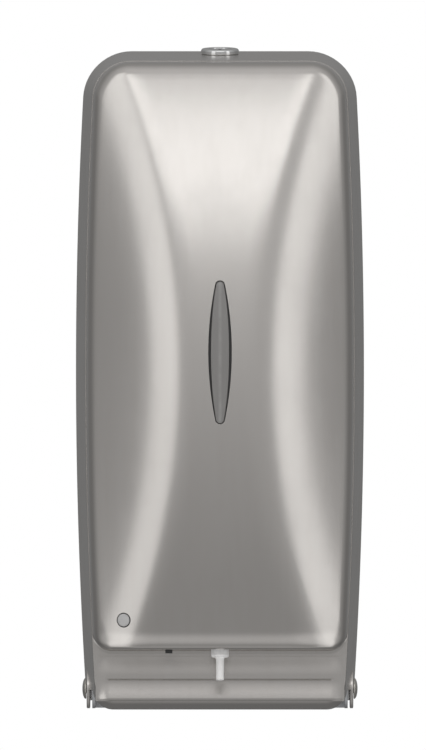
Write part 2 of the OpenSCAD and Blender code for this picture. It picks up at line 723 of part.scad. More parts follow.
module pump_cover() color("whitesmoke") seat() difference() {
    block([-housing_half, housing_half], [housing_front, housing_front + 3], [housing_low, housing_top]);
    for (p = pump_screw_places()) bar_y(p[0], p[1], [housing_front - 1, housing_front + 4], 1.1);
}

module pump_screws() color("silver") seat()
    for (p = pump_screw_places()) screw_back(p[0], p[1], housing_front + 3, 8, 1.1, 2.1);

module motor() color("silver") seat() difference() {
    union() {
        bar_y(motor_x, motor_z, [case_back - motor_l, case_back], motor_d / 2);
        bar_y(motor_x, motor_z, [case_back, case_back + 1.9], 3 - fit);
    }
    bar_y(motor_x, motor_z, [case_back - 6.2, case_back + 3], 1 + run_gap);
}

// ---- Spout and sensor ----

function dot3(a, b) = a[0] * b[0] + a[1] * b[1] + a[2] * b[2];
function unit(v) = v / norm(v);
function ring_about(p, along, r, sides) = let (v = unit(cross(along, [1, 0, 0])))
    [for (i = [0:sides - 1]) p + r * (cos(360 * i / sides) * [1, 0, 0] + sin(360 * i / sides) * v)];
function heading(route, i) = unit(route[min(i + 1, len(route) - 1)] - route[max(i - 1, 0)]);

module hose(route, r, sides) {
    last = len(route) - 1;
    rings = [for (i = [last:-1:0]) ring_about(route[i], heading(route, i), r, sides)];
    lofted(rings, route[last], route[0]);
}

module outlet_hose() color("lightblue") seat() hose(outlet_route, hose_d / 2 - 0.5, 12);

module spout() color("white") seat() at_spout() difference() {
    seat_z = frame_z - shelf_z + 6;
    union() {
        translate([0, 0, -spout_l]) cylinder(h = spout_l, r = spout_d / 2);
        translate([0, 0, -collar_l]) cylinder(h = seat_z, r = collar_d / 2);
        translate([0, 0, 3]) cylinder(h = seat_z - 3, r = collar_d / 2 + 1);
        translate([0, 0, seat_z]) cylinder(h = 2, r = collar_d / 2 + 4.5);
        translate([0, 0, seat_z + 1]) cylinder(h = spout_top - seat_z - 1, r = hose_bore / 2);
    }
    translate([0, 0, -spout_l - 1]) cylinder(h = spout_l + 30, r = 1.2);
    translate([0, 0, 4]) cylinder(h = 5, r = 2.5);
}

module check_valve() color("black") seat() at_spout() difference() {
    translate([0, 0, 4.1]) cylinder(h = 4.8, r = 2.4);
    translate([0, 0, 4]) cylinder(h = 5, r = 0.5);
}

module sensor_housing() color("black") seat() difference() {
    x = [sensor_x - 8, sensor_x + 8];
    ds = [sensor_at - 7, sensor_at + 7];
    block(x, ds, [frame_floor, frame_floor + 8]);
    block([x[0] + 1.5, x[1] - 1.5], [ds[0] + 1.5, ds[1] - 1.5], [frame_floor - 1, frame_floor + 6.5]);
}

module sensor_window() color("black") seat() {
    block([sensor_x - sensor_w / 2, sensor_x + sensor_w / 2], [sensor_at - 4, sensor_at + 4],
        [shelf_z - 1.25, frame_floor + 0.5]);
    block([sensor_x - 4, sensor_x + 4], [sensor_at - 5, sensor_at + 5], [frame_floor, frame_floor + 1.5]);
}

module ir_pair() color("purple") seat() for (s = [-1, 1])
    bar_z(sensor_x, sensor_at + 2.5 * s, [frame_floor + 1.6, frame_floor + 6], 1.5);

module indicator_lamp() color("red") seat() {
    at_lamp() translate([0, 0, -15]) cylinder(h = 4, r = 2.4);
    back = face_depth(lamp_x, lamp_z) - 15;
    rise = 15 * (face_depth(lamp_x, lamp_z + 0.5) - face_depth(lamp_x, lamp_z - 0.5));
    block([lamp_x - 0.5, lamp_x + 3.5], [back - 3, back + 1],
        [frame_floor, lamp_z + max(1, rise - 1.5)]);
}

// ---- Batteries and board ----

module battery_cradle() color("dimgray") seat() difference() {
    x = [cradle_x, cradle_x + cradle_w];
    ds = [plate_t + frame_t, cell_back + cell_d * 0.6];
    zs = [cell_z - 4, cell_z + cell_l + 5];
    block(x, ds, zs);
    for (i = [0:cell_count - 1]) {
        inside = [zs[0] + 1.5, zs[1] - 1.5];
        bar_z(cell_x(i), cell_back + cell_d / 2, inside, cell_d / 2 + fit);
        block([cell_x(i) - 5, cell_x(i) + 5], [cell_back + cell_d / 2, ds[1] + 1], inside);
    }
}

function cell_x(i) = cradle_x + 0.75 + (i + 0.5) * cell_pitch;

module cells() color("green") seat() for (i = [0:cell_count - 1]) {
    up = i % 2 == 0;
    bar_z(cell_x(i), cell_back + cell_d / 2, [cell_z, cell_z + cell_l - 1.2], cell_d / 2);
    bar_z(cell_x(i), cell_back + cell_d / 2,
        up ? [cell_z + cell_l - 1.3, cell_z + cell_l] : [cell_z - 1.2, cell_z], 2.7);
}

module battery_contacts() color("silver") seat() for (i = [0:cell_count - 1], top = [false, true]) {
    z = top ? cell_z + cell_l + 3.1 : cell_z - 2.4;
    block([cell_x(i) - 4.5, cell_x(i) + 4.5], [cell_back + 3, cell_back + cell_d - 4], [z, z + 0.3]);
}

module battery_springs() color("silver") seat() for (i = [0:cell_count - 1]) {
    top = i % 2 == 1;
    low = top ? cell_z + cell_l - 1.1 : cell_z - 2;
    span = top ? 4.1 : 1.9;
    for (k = [0:2]) translate([cell_x(i), -cell_back - cell_d / 2, low + 0.35 + k * (span - 0.7) / 2])
        rotate_extrude() translate([3.6 - 0.5 * k, 0]) circle(r = 0.3);
}

module control_board() color("darkgreen") seat() {
    block([board_x, board_x + 1.6], [12, 44], [frame_floor + 12, frame_floor + 68]);
    for (d = [16, 40], z = [frame_floor + 16, frame_floor + 64])
        bar_x([board_x + 1.6, frame_half - frame_t], d, z, 2);
}

module board_parts() color("black") seat() {
    block([board_x - 1.5, board_x], [20, 30], [frame_floor + 36, frame_floor + 46]);
    block([board_x - 5, board_x], [34, 42], [frame_floor + 20, frame_floor + 34]);
    bar_x([board_x - 7, board_x], 20, frame_floor + 22, 3);
    bar_x([board_x - 7, board_x], 20, frame_floor + 58, 3);
    for (z = [frame_floor + 38:4:frame_floor + 54])
        block([board_x - 0.6, board_x], [32, 33.5], [z, z + 2.5]);
}

// ---- Cover ----

// The pressed pad on the apron, with a groove along its middle
module apron_pad() {
    low = flange_h + 1.2;
    r = 8;
    difference() {
        panel([tray_d - 0.5, tray_d + pad_rise]) {
            translate([-pad_half_w, low + r]) square([2 * pad_half_w, pad_h - 2 * r]);
            translate([r - pad_half_w, low]) square([2 * (pad_half_w - r), pad_h]);
            for (s = [-1, 1], z = [low + r, low + pad_h - r])
                translate([s * (pad_half_w - r), z]) circle(r = r);
        }
        block([r - pad_half_w, pad_half_w - r], [tray_d, tray_d + pad_rise + 1],
            [low + (pad_h - pad_groove) / 2, low + (pad_h + pad_groove) / 2]);
    }
}

module front_cover() color("lightgray") seat() difference() {
    union() {
        difference() {
            pressing();
            block([-body_w, body_w], [0, tray_d - flange_d - 2], [-1, low_r + 0.1]);
        }
        both_sides() bar_x([ear_x, ear_x + ear_t], pivot_d, pivot_z, ear_r);
        apron_pad();
    }
    both_sides() {
        bar_x([ear_x - 5, ear_x + 10], pivot_d, pivot_z, pivot_pin_d / 2 + run_gap);
        bar_x([ear_x - 5, ear_x], pivot_d, pivot_z, ear_r);
    }
    at_lock() translate([0, 0, -10]) cylinder(h = 20, r = lock_barrel_d / 2 + fit);
    panel([body_d - 20, body_d + 1]) sight_outline(0);
    at_lamp() translate([0, 0, -6]) cylinder(h = 10, r = lamp_d / 2 + 0.05);
    for (d = [0, 3]) bar_z(0, spout_at + d - 1, [shelf_z - 3, shelf_z + 6], collar_d / 2 + 1.7);
    block([sensor_x - sensor_w / 2 - 1.5, sensor_x + sensor_w / 2 + 1.5],
        [sensor_at - 6, sensor_at + 8], [shelf_z - 3, shelf_z + 4]);
}

module sight_window() color("gray") seat() intersection() {
    behind_face([cover_t + 0.2, cover_t + 0.2 + pane_t]);
    panel([body_d - 30, body_d + 1]) sight_outline(2.5);
}

module window_frame() color("black") seat() difference() {
    intersection() {
        behind_face([cover_t + 0.25, cover_t + pane_t + 1.7]);
        panel([body_d - 30, body_d + 1]) sight_outline(5);
    }
    intersection() {
        behind_face([cover_t - 1, cover_t + 0.25 + pane_t]);
        panel([body_d - 30, body_d + 1]) sight_outline(2.55);
    }
    panel([body_d - 30, body_d + 1]) sight_outline(0.5);
}

module indicator_lens() color("dimgray") seat() at_lamp() {
    translate([0, 0, -5]) cylinder(h = 5.6, r = lamp_d / 2);
}

module lens_clip() color("black") seat() at_lamp() difference() {
    translate([0, 0, -4.8]) cylinder(h = 1.2, r = lamp_d / 2 + 2.2);
    translate([0, 0, -6]) cylinder(h = 4, r = lamp_d / 2);
}

// ---- Lock ----

module lock_body() color("silver") seat() at_lock() difference() {
    union() {
        translate([0, 0, 0.05]) cylinder(h = lock_head_h - 0.8, r = lock_head_d / 2, $fn = 96);
        translate([0, 0, lock_head_h - 0.75])
            cylinder(h = 0.8, r1 = lock_head_d / 2, r2 = lock_head_d / 2 - 1, $fn = 96);
        translate([0, 0, -lock_barrel_h]) cylinder(h = lock_barrel_h + 1, r = lock_barrel_d / 2);
    }
    translate([0, 0, -lock_barrel_h - 1]) cylinder(h = 40, r = plug_d / 2 + run_gap);
}

module lock_nut() color("silver") seat() at_lock() difference() {
    translate([0, 0, -cover_t - 4]) cylinder(h = 3.8, r = lock_barrel_d / 2 + 3.5, $fn = 6);
    translate([0, 0, -10]) cylinder(h = 20, r = lock_barrel_d / 2);
}

module lock_plug() color("silver") seat() at_lock() difference() {
    union() {
        translate([0, 0, -lock_barrel_h]) cylinder(h = lock_barrel_h + lock_head_h - 0.4, r = plug_d / 2);
        translate([-3, -3, -cam_drop - cam_t]) cube([6, 6, cam_t + 1.1]);
    }
    translate([-0.7, -3.2, lock_head_h - 4]) cube([1.4, 6.4, 6]);
    translate([0, 0, -cam_drop - cam_t - 1]) cylinder(h = 8, r = 1.5);
}

module lock_cam() color("silver") seat() at_lock() translate([0, 0, -cam_drop - cam_t]) difference() {
    union() {
        cylinder(h = cam_t, r = cam_w / 2 + 1);
        translate([-cam_w / 2, 0, 0]) cube([cam_w, cam_reach, cam_t]);
    }
    translate([-3, -3, -1]) cube([6, 6, cam_t + 2]);
}

module cam_screw() color("silver") seat() at_lock() {
    translate([0, 0, -cam_drop - cam_t - 2]) cylinder(h = 2, r = 4);
    translate([0, 0, -cam_drop - cam_t - eps]) cylinder(h = 6, r = 1.5);
}

back_plate();
lock_catch();
hinge_rivets();
hinge_washers();
pump_frame();
frame_screws();
reservoir();
reservoir_clip();
outlet_fitting();
outlet_oring();
outlet_nut();
inlet_hose();
hose_clamps();
gear_case();
case_screws();
pump_housing();
pump_cover();
pump_screws();
shaft_seal();
motor();
outlet_hose();
spout();
check_valve();
control_board();
board_parts();
sensor_housing();
sensor_window();
ir_pair();
indicator_lamp();
battery_cradle();
cells();
battery_contacts();
battery_springs();
filler_cap();
cap_gasket();
drive_gear();
idler_gear();
motor_pinion();
front_cover();
sight_window();
window_frame();
indicator_lens();
lens_clip();
lock_body();
lock_nut();
lock_plug();
lock_cam();
cam_screw();
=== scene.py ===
"""Looks of the wall mounted soap dispenser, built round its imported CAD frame."""
import json
import math

import bmesh
import bpy
from mathutils import Matrix, Vector


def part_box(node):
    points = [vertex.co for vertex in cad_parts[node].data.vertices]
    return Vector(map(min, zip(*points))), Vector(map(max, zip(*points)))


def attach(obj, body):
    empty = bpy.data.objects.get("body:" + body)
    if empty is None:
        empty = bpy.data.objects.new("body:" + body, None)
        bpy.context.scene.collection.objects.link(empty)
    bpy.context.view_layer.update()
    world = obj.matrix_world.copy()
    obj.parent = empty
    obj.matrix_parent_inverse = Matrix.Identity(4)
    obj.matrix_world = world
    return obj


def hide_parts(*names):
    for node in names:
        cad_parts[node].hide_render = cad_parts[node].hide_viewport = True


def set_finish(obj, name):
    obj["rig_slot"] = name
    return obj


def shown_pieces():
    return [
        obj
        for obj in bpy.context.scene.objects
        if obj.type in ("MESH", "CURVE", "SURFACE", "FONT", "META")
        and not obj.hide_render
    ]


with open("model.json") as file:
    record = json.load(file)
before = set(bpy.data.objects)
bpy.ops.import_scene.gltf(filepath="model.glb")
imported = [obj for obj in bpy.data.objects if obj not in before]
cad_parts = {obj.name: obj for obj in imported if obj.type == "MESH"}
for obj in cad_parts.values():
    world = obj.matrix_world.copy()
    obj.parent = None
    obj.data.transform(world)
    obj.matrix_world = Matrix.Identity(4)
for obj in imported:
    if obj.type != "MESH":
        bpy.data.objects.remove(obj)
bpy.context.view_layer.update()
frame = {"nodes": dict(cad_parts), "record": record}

MM = 0.001

cover_low, cover_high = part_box("front_cover")
BASE_Z = cover_low.z                        # height of the cover's lower edge
BODY_W = (cover_high.x - cover_low.x) / MM
BODY_H = (cover_high.z - cover_low.z) / MM
BODY_D = -cover_low.y / MM

# Sizes of the cover pressing, in millimetres: heights above its lower edge, depths from the wall
SHEET = 1.2
RIM_GAP = 2.0
TRAY_D = BODY_D - 48.0
SIDE_DRAFT = 5.0
TOP_DRAFT = 5.75
CREASE = 0.4
ROLL_W = 5.0
NOSE_H = 10.0
SHELF_Z = 30.0
FLANGE_H = 4.0
FLANGE_D = 10.0
LOW_R = 9.5
TOP_R = 23.0
WAIST_Z = 170.0
BARREL, BARREL_SPAN = 3.5, 135.0
CREST_Z, TOP_FALL = 137.0, 27.0
CHEEK_ANGLE, CHEEK_END_ANGLE = 41.0, 32.0
FLAT_W, FLAT_GAIN, FLAT_SPAN = 9.5, 18.5, 115.0
CHEEK_R, CHEEK_END_R, CHEEK_SPAN = 36.0, 20.0, 150.0
WALL_LEAN = 0.8
ROLL_D = 7.0
NOSE_SWELL = 1.6
CREASE_INSET = SIDE_DRAFT + CREASE
CREASE_TOP = BODY_H - TOP_DRAFT - CREASE
FACE_INSET = CREASE_INSET + ROLL_W
FACE_LOW = SHELF_Z + NOSE_H
FACE_TOP = CREASE_TOP - ROLL_W - 2.0
FACE_R = ((FACE_TOP - CREST_Z) ** 2 + TOP_FALL ** 2) / (2 * TOP_FALL)
SIGHT_Z, SIGHT_W, SIGHT_H, SIGHT_END_R = 178.75, 11.7, 71.5, 2.5
PIVOT_Z, PIVOT_D = 10.0, 14.0
LAMP_X, LAMP_Z, LAMP_R = -48.0, 45.5, 3.5
LOCK_D = 18.0
LOCK_LEAN = math.atan(TOP_DRAFT / (TRAY_D - RIM_GAP))
LOCK_TOP = BODY_H - TOP_DRAFT * (LOCK_D - RIM_GAP) / (TRAY_D - RIM_GAP)
SPOUT_D = BODY_D - 26.0
SPOUT_LEAN = math.radians(10)
SENSOR_X, SENSOR_D = -25.5, SPOUT_D - 1


def place(x, depth, height):
    """A point from its place across, its depth from the wall and its height, in millimetres."""
    return Vector((x * MM, -depth * MM, BASE_Z + height * MM))


# ---- Camera ----

def make_camera():
    """A long lens straight in front, a little left of and above the middle."""
    view_height, distance, sensor = 0.375, 8.0, 36.0
    data = bpy.data.cameras.new("camera")
    data.lens = sensor * distance / view_height
    data.sensor_width = sensor
    camera = bpy.data.objects.new("camera", data)
    bpy.context.collection.objects.link(camera)
    camera.location = place(-3.5, TRAY_D, 167.5) - Vector((0, distance, 0))
    camera.rotation_euler = (math.pi / 2, 0, 0)
    bpy.context.scene.camera = camera


make_camera()


# ---- Mesh helpers ----

def add_mesh(name, points, faces, smooth_angle=32.0):
    """A mesh object with smooth shading, kept sharp where faces meet at more than smooth_angle."""
    mesh = bpy.data.meshes.new(name)
    mesh.from_pydata([tuple(p) for p in points], [], faces)
    form = bmesh.new()
    form.from_mesh(mesh)
    bmesh.ops.recalc_face_normals(form, faces=form.faces)
    form.to_mesh(mesh)
    form.free()
    piece = bpy.data.objects.new(name, mesh)
    bpy.context.collection.objects.link(piece)
    shade(piece, smooth_angle)
    return piece


def shade(piece, smooth_angle=32.0):
    """Smooth shading, with an edge kept sharp where its faces turn past an angle."""
    mesh = piece.data
    mesh.polygons.foreach_set("use_smooth", [True] * len(mesh.polygons))
    mesh.set_sharp_from_angle(angle=math.radians(smooth_angle))


def bake_modifiers(piece):
    """Replaces a piece's mesh by what its modifiers make of it."""
    graph = bpy.context.evaluated_depsgraph_get()
    mesh = bpy.data.meshes.new_from_object(piece.evaluated_get(graph))
    piece.modifiers.clear()
    piece.data = mesh


def combine(piece, tool, operation="DIFFERENCE"):
    """Cuts a piece with a tool, or joins the tool to it, and drops the tool."""
    step = piece.modifiers.new("combine", "BOOLEAN")
    step.object = tool
    step.operation = operation
    step.solver = "EXACT"
    bpy.context.view_layer.update()
    bake_modifiers(piece)
    bpy.data.objects.remove(tool)


def loft(name, rings, smooth_angle=32.0, closed=False, capped=True):
    """A skin over rings of points with equal counts; closed joins the last ring to the first."""
    n = len(rings[0])
    points = [p for ring in rings for p in ring]
    count = len(rings)
    faces = []
    for k in range(count if closed else count - 1):
        a, b = k * n, (k + 1) % count * n
        faces += [(a + i, a + (i + 1) % n, b + (i + 1) % n, b + i) for i in range(n)]
    if capped and not closed:
        faces.append(tuple(reversed(range(n))))
        faces.append(tuple(range((count - 1) * n, count * n)))
    return add_mesh(name, points, faces, smooth_angle)


def lathe(name, profile, matrix, sides=64, smooth_angle=32.0):
    """A turned solid from (radius, height) points along +Z, from its bottom middle to its top."""
    rings = []
    for radius, height in profile:
        r = max(radius, 0.001)
        rings.append([
            matrix @ Vector((r * MM * math.cos(a), r * MM * math.sin(a), height * MM))
            for a in (2 * math.pi * i / sides for i in range(sides))
        ])
    return loft(name, rings, smooth_angle)


def arc(centre_r, centre_h, radius, start, end, steps=6):
    """Points of a round corner in a lathe profile, with angles in degrees from the radius axis."""
    return [
        (centre_r + radius * math.cos(math.radians(start + (end - start) * i / steps)),
         centre_h + radius * math.sin(math.radians(start + (end - start) * i / steps)))
        for i in range(steps + 1)
    ]


def bar(name, start, end, radius, sides=48):
    """A round bar between two points, used as a cutting tool or a pin."""
    along = end - start
    turn = along.to_track_quat("Z", "Y").to_matrix().to_4x4()
    length = along.length / MM
    return lathe(name, [(radius, 0), (radius, length)], Matrix.Translation(start) @ turn, sides)


def block(name, xs, depths, heights):
    corners = [place(x, d, z) for z in heights for d in depths for x in xs]
    faces = [(0, 1, 3, 2), (4, 6, 7, 5), (0, 4, 5, 1), (2, 3, 7, 6), (0, 2, 6, 4), (1, 5, 7, 3)]
    return add_mesh(name, corners, faces)


# ---- The cover's surface ----

def smooth_step(value):
    """0 below 0, 1 above 1, and an easy curve between."""
    value = min(max(value, 0), 1)
    return value * value * (3 - 2 * value)


def half_width(z):
    """Half the cover's width at a height."""
    return BODY_W / 2 - BARREL * ((z - WAIST_Z) / BARREL_SPAN) ** 2


def face_depth(x, z):
    """Depth of the face: a round arc down the middle, falling back smoothly to both cheeks."""
    flat = FLAT_W + FLAT_GAIN * ((z - WAIST_Z) / FLAT_SPAN) ** 2
    past = max(abs(x) - flat, 0)
    off_waist = min(1, ((z - WAIST_Z) / CHEEK_SPAN) ** 2)
    turn = CHEEK_R - (CHEEK_R - CHEEK_END_R) * off_waist
    slope = math.tan(math.radians(CHEEK_ANGLE - (CHEEK_ANGLE - CHEEK_END_ANGLE) * off_waist))
    side_fall = FACE_R - math.sqrt(FACE_R ** 2 - (z - CREST_Z) ** 2)
    return BODY_D - side_fall - slope * (math.hypot(turn, past) - turn)


EDGE_N, CORNER_N, SIDE_N = 14, 14, 60


def outline(inset, z0, z1, r0, r1):
    """A rounded outline with barrel sides, anticlockwise from the middle of its lower edge."""
    half = [(i / EDGE_N * (half_width(z0) - inset - r0), z0) for i in range(EDGE_N)]
    for i in range(CORNER_N + 1):
        a = math.pi / 2 * i / CORNER_N
        z = z0 + r0 * (1 - math.cos(a))
        half.append((half_width(z) - inset - r0 * (1 - math.sin(a)), z))
    for i in range(1, SIDE_N):
        z = z0 + r0 + (z1 - r1 - z0 - r0) * i / SIDE_N
        half.append((half_width(z) - inset, z))
    for i in range(CORNER_N + 1):
        a = math.pi / 2 * i / CORNER_N
        z = z1 - r1 * (1 - math.sin(a))
        half.append((half_width(z) - inset - r1 * (1 - math.cos(a)), z))
    half += [((1 - i / EDGE_N) * (half_width(z1) - inset - r1), z1) for i in range(1, EDGE_N + 1)]
    return half + [(-x, z) for x, z in half[-2:0:-1]]


def level(points, depth):
    """One outline laid at a single depth."""
    return [place(x, depth, z) for x, z in points]


def tray_level(depth, sink):
    """The tray's drafted wall at a depth, sunk by the sheet's thickness on the inner skin."""
    turn = (depth - RIM_GAP) / (TRAY_D - RIM_GAP)
    flange = max(0, (depth - (TRAY_D - FLANGE_D)) / FLANGE_D)
    return outline(SIDE_DRAFT * turn + sink, FLANGE_H * flange + sink, BODY_H - TOP_DRAFT * turn - sink,
                   LOW_R, TOP_R - 5 * turn - sink)


def crease_level(inset, rise, depth, sink):
    """A level near the crease: inset from the tray's front edge, with its lower edge at rise."""
    points = outline(SIDE_DRAFT + inset + sink, rise + sink, BODY_H - TOP_DRAFT - inset - sink,
                     LOW_R, TOP_R - 5 - inset - sink)
    return level(points, depth - sink)


def nose_depth(x, z, s):
    """The lower edge of the face: a hollow, then a swelling lip that turns under tightly."""
    swell = NOSE_SWELL * smooth_step((FACE_LOW - z) / (NOSE_H - WALL_LEAN))
    return face_depth(x, z) + swell - ROLL_D * (1 - s) ** 6


def roll_levels(sink, steps):
    """The rolled edge from the bulge's wall to the face."""
    wall = outline(CREASE_INSET + WALL_LEAN + sink, SHELF_Z + WALL_LEAN + sink,
                   CREASE_TOP - WALL_LEAN - sink, LOW_R - 2, TOP_R - 6 - sink)
    face = outline(FACE_INSET, FACE_LOW, FACE_TOP, LOW_R, TOP_R - 9)
    rings = []
    for k in range(steps + 1):
        s = k / steps
        ring = []
        for (wx, wz), (fx, fz) in zip(wall, face):
            corner = face_depth(wx, wz)
            edge = face_depth(fx, fz)
            depth = (1 - s) ** 2 * (corner - ROLL_D) + 2 * s * (1 - s) * corner + s * s * edge
            x, z = wx * (1 - s * s) + fx * s * s, wz * (1 - s * s) + fz * s * s
            nose = 1 - smooth_step((fz - FACE_LOW) / LOW_R)
            ring.append(place(x, (1 - nose) * depth + nose * nose_depth(x, z, s) - sink, z))
        rings.append(ring)
    return rings


def face_levels(sink, steps):
    """The face inside its rolled edge, as outlines that shrink to the middle."""
    face = outline(FACE_INSET, FACE_LOW, FACE_TOP, LOW_R, TOP_R - 9)
    middle = (FACE_LOW + FACE_TOP) / 2
    rings = []
    for k in range(1, steps):
        f = 1 - k / steps
        ring = [(x * f, middle + (z - middle) * f) for x, z in face]
        rings.append([place(x, face_depth(x, z) - sink, z) for x, z in ring])
    return rings


def outer_skin():
    """The outside of the pressing, from its rear rim to the middle of the face."""
    rings = [level(tray_level(d, 0), d) for d in
             (RIM_GAP, RIM_GAP + 0.6, TRAY_D / 2, TRAY_D - FLANGE_D - 0.8, TRAY_D - FLANGE_D + 0.8,
              TRAY_D - 3, TRAY_D - 1.4)]
    rings += [crease_level(i, r, TRAY_D + d, 0) for i, r, d in
              ((0.0, FLANGE_H + 0.1, -0.8), (0.08, FLANGE_H + 0.45, -0.3), (0.2, FLANGE_H + 1.2, 0.0),
               (0.25, FLANGE_H + 1.8, 0.0), (0.3, SHELF_Z - 2.4, 0.0), (0.36, SHELF_Z - 1.6, 0.0),
               (0.46, SHELF_Z - 0.6, 0.25), (0.54, SHELF_Z - 0.1, 1.2), (0.6, SHELF_Z, 2.4))]
    return rings + roll_levels(0, 14) + face_levels(0, 44)


def inner_skin():
    """The inside of the pressing, a sheet thickness in."""
    rings = [level(tray_level(d, SHEET), d) for d in (RIM_GAP, TRAY_D / 2, TRAY_D - FLANGE_D)]
    rings += [crease_level(i, r, TRAY_D, SHEET) for i, r in ((0.0, FLANGE_H), (CREASE, SHELF_Z))]
    return rings + roll_levels(SHEET, 6) + face_levels(SHEET, 22)


# ---- The cover and what is fixed to it ----

def sight_points(grow, per_side=40, per_end=10):
    """Outline of the sight window, a pointed oval with rounded ends, grown by a margin."""
    end_z = SIGHT_H / 2 - SIGHT_END_R
    span = SIGHT_W / 2 - SIGHT_END_R
    side_r = (end_z ** 2 + span ** 2) / (2 * span)
    lean = math.asin(end_z / side_r)
    right = []
    for i in range(per_side + 1):
        a = lean * (2 * i / per_side - 1)
        right.append((SIGHT_W / 2 - side_r + (side_r + grow) * math.cos(a), (side_r + grow) * math.sin(a)))
    end_r = SIGHT_END_R + grow
    cap = []
    for i in range(1, per_end):
        a = lean + (math.pi - 2 * lean) * i / per_end
        cap.append((end_r * math.cos(a), end_z + end_r * math.sin(a)))
    left = [(-x, -z) for x, z in right]
    lower_cap = [(-x, -z) for x, z in cap]
    return right + cap + left + lower_cap


def sight_prism(name, grow, near, far):
    points = sight_points(grow)
    rings = [[place(x, d, SIGHT_Z + z) for x, z in points] for d in (near, far)]
    return loft(name, rings)


def lamp_matrix():
    """Turns +Z to the cover's outward direction at the indicator."""
    x, z = LAMP_X, LAMP_Z
    slope_x = face_depth(x + 0.5, z) - face_depth(x - 0.5, z)
    slope_z = face_depth(x, z + 0.5) - face_depth(x, z - 0.5)
    turn = Matrix.Rotation(-math.atan(slope_x), 4, "Z")
    dip = Matrix.Rotation(math.pi / 2 + math.atan(slope_z), 4, "X")
    return Matrix.Translation(place(x, face_depth(x, z), z)) @ turn @ dip


def lock_matrix():
    """The lock's place, leaning with the cover's top."""
    return Matrix.Translation(place(0, LOCK_D, LOCK_TOP)) @ Matrix.Rotation(LOCK_LEAN, 4, "X")


def spout_matrix():
    """The nozzle's place, leaning forward under the shelf."""
    return Matrix.Translation(place(0, SPOUT_D, SHELF_Z)) @ Matrix.Rotation(-SPOUT_LEAN, 4, "X")


def make_cover():
    """The pressed stainless cover, with its ears, and every hole through it."""
    outer, inner = outer_skin(), inner_skin()
    cover = loft("front_cover_pressing", list(reversed(inner)) + outer)
    combine(cover, block("tool", (-90, 90), (-5, TRAY_D - FLANGE_D - 2), (-5, LOW_R + 0.1)))
    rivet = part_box("hinge_washers")[1].x / MM
    for side in (-1, 1):
        near, far = rivet + 0.05, rivet + 0.05 + SHEET + 0.6
        profile = [(9.4, 0), (10, 0.3), (10, far - near - 0.5)] + arc(9.5, far - near - 0.5, 0.5, 0, 90, 4)
        ear = lathe("ear", profile, Matrix.Translation(place(side * near, PIVOT_D, PIVOT_Z))
                    @ Matrix.Rotation(side * math.pi / 2, 4, "Y"), 96)
        combine(cover, ear, "UNION")
        inside = place(side * 50, PIVOT_D, PIVOT_Z)
        combine(cover, bar("tool", inside, place(side * 80, PIVOT_D, PIVOT_Z), 2.58))
        combine(cover, bar("tool", inside, place(side * near, PIVOT_D, PIVOT_Z), 9.9))
    combine(cover, sight_prism("tool", 0, BODY_D - 20, BODY_D + 5))
    m = lock_matrix()
    combine(cover, bar("tool", m @ Vector((0, 0, -0.01)), m @ Vector((0, 0, 0.01)), 8.05))
    m = lamp_matrix()
    combine(cover, bar("tool", m @ Vector((0, 0, -0.006)), m @ Vector((0, 0, 0.004)), LAMP_R + 0.15))
    for back in (1, -2):
        depth = SPOUT_D - back
        combine(cover, bar("tool", place(0, depth, SHELF_Z - 4), place(0, depth, SHELF_Z + 6), 6.1))
    combine(cover, block("tool", (SENSOR_X - 3.25, SENSOR_X + 3.25), (SENSOR_D - 6, SENSOR_D + 8),
                         (SHELF_Z - 3, SHELF_Z + 4)))
    shade(cover, 34)
    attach(cover, "cover")
    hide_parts("front_cover")
    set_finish(cover, "stainless")
    return cover


PAD_HALF, PAD_LOW, PAD_TOP = 62.2, 4.4, 27.0
GROOVE_Z, GROOVE_HALF = 15.2, 57.0


def pad_height(x, z):
    """How far the apron's pad stands out: two lapped rolls, parted by a groove that stops short."""
    side = (PAD_HALF - abs(x)) / 7.0
    near = min((PAD_TOP - z) / 9.5, (z - PAD_LOW) / 1.2)
    edge = 1 - math.hypot(max(1 - side, 0), max(1 - near, 0))
    ends = smooth_step((GROOVE_HALF - abs(x)) / 2.0)
    lap = smooth_step((GROOVE_Z + 0.7 - z) / 1.4)
    swell = smooth_step((GROOVE_Z - 1 - z) / 10.0)
    crease = max(0, 1 - abs(z - GROOVE_Z) / 0.4)
    return 0.6 * smooth_step(edge) * (1 + 1.5 * swell) - ends * (0.3 * lap * (1 - swell) + 0.35 * crease)


def spaced(low, high, step):
    """Even steps of about one size from low up to high, without high itself."""
    count = max(1, round((high - low) / step))
    return [low + (high - low) * i / count for i in range(count)]


def make_apron_pad():
    """The double pad pressed into the apron under the shelf."""
    heights = (spaced(PAD_LOW, GROOVE_Z - 1, 0.35) + spaced(GROOVE_Z - 1, GROOVE_Z + 1, 0.1)
               + spaced(GROOVE_Z + 1, PAD_TOP, 0.35) + [PAD_TOP])
    ends = spaced(GROOVE_HALF - 3, PAD_HALF, 0.3) + [PAD_HALF]
    across = [-x for x in reversed(ends)] + spaced(3 - GROOVE_HALF, GROOVE_HALF - 3, 1.5)[1:] + ends
    wide, tall = len(across), len(heights)
    points = [place(x, TRAY_D + 0.02 + pad_height(x, z), z) for z in heights for x in across]
    points += [place(x, TRAY_D - 0.5, z) for z in heights for x in across]
    back = wide * tall
    faces = []
    for j in range(tall - 1):
        for i in range(wide - 1):
            a = j * wide + i
            faces.append((a, a + 1, a + wide + 1, a + wide))
            faces.append((a + back, a + wide + back, a + wide + 1 + back, a + 1 + back))
    edge = (list(range(wide)) + [j * wide + wide - 1 for j in range(1, tall)]
            + [(tall - 1) * wide + i for i in range(wide - 2, -1, -1)]
            + [j * wide for j in range(tall - 2, 0, -1)])
    for a, b in zip(edge, edge[1:] + edge[:1]):
        faces.append((b, a, a + back, b + back))
    fix(add_mesh("apron_pad", points, faces, 50), "cover", "stainless")


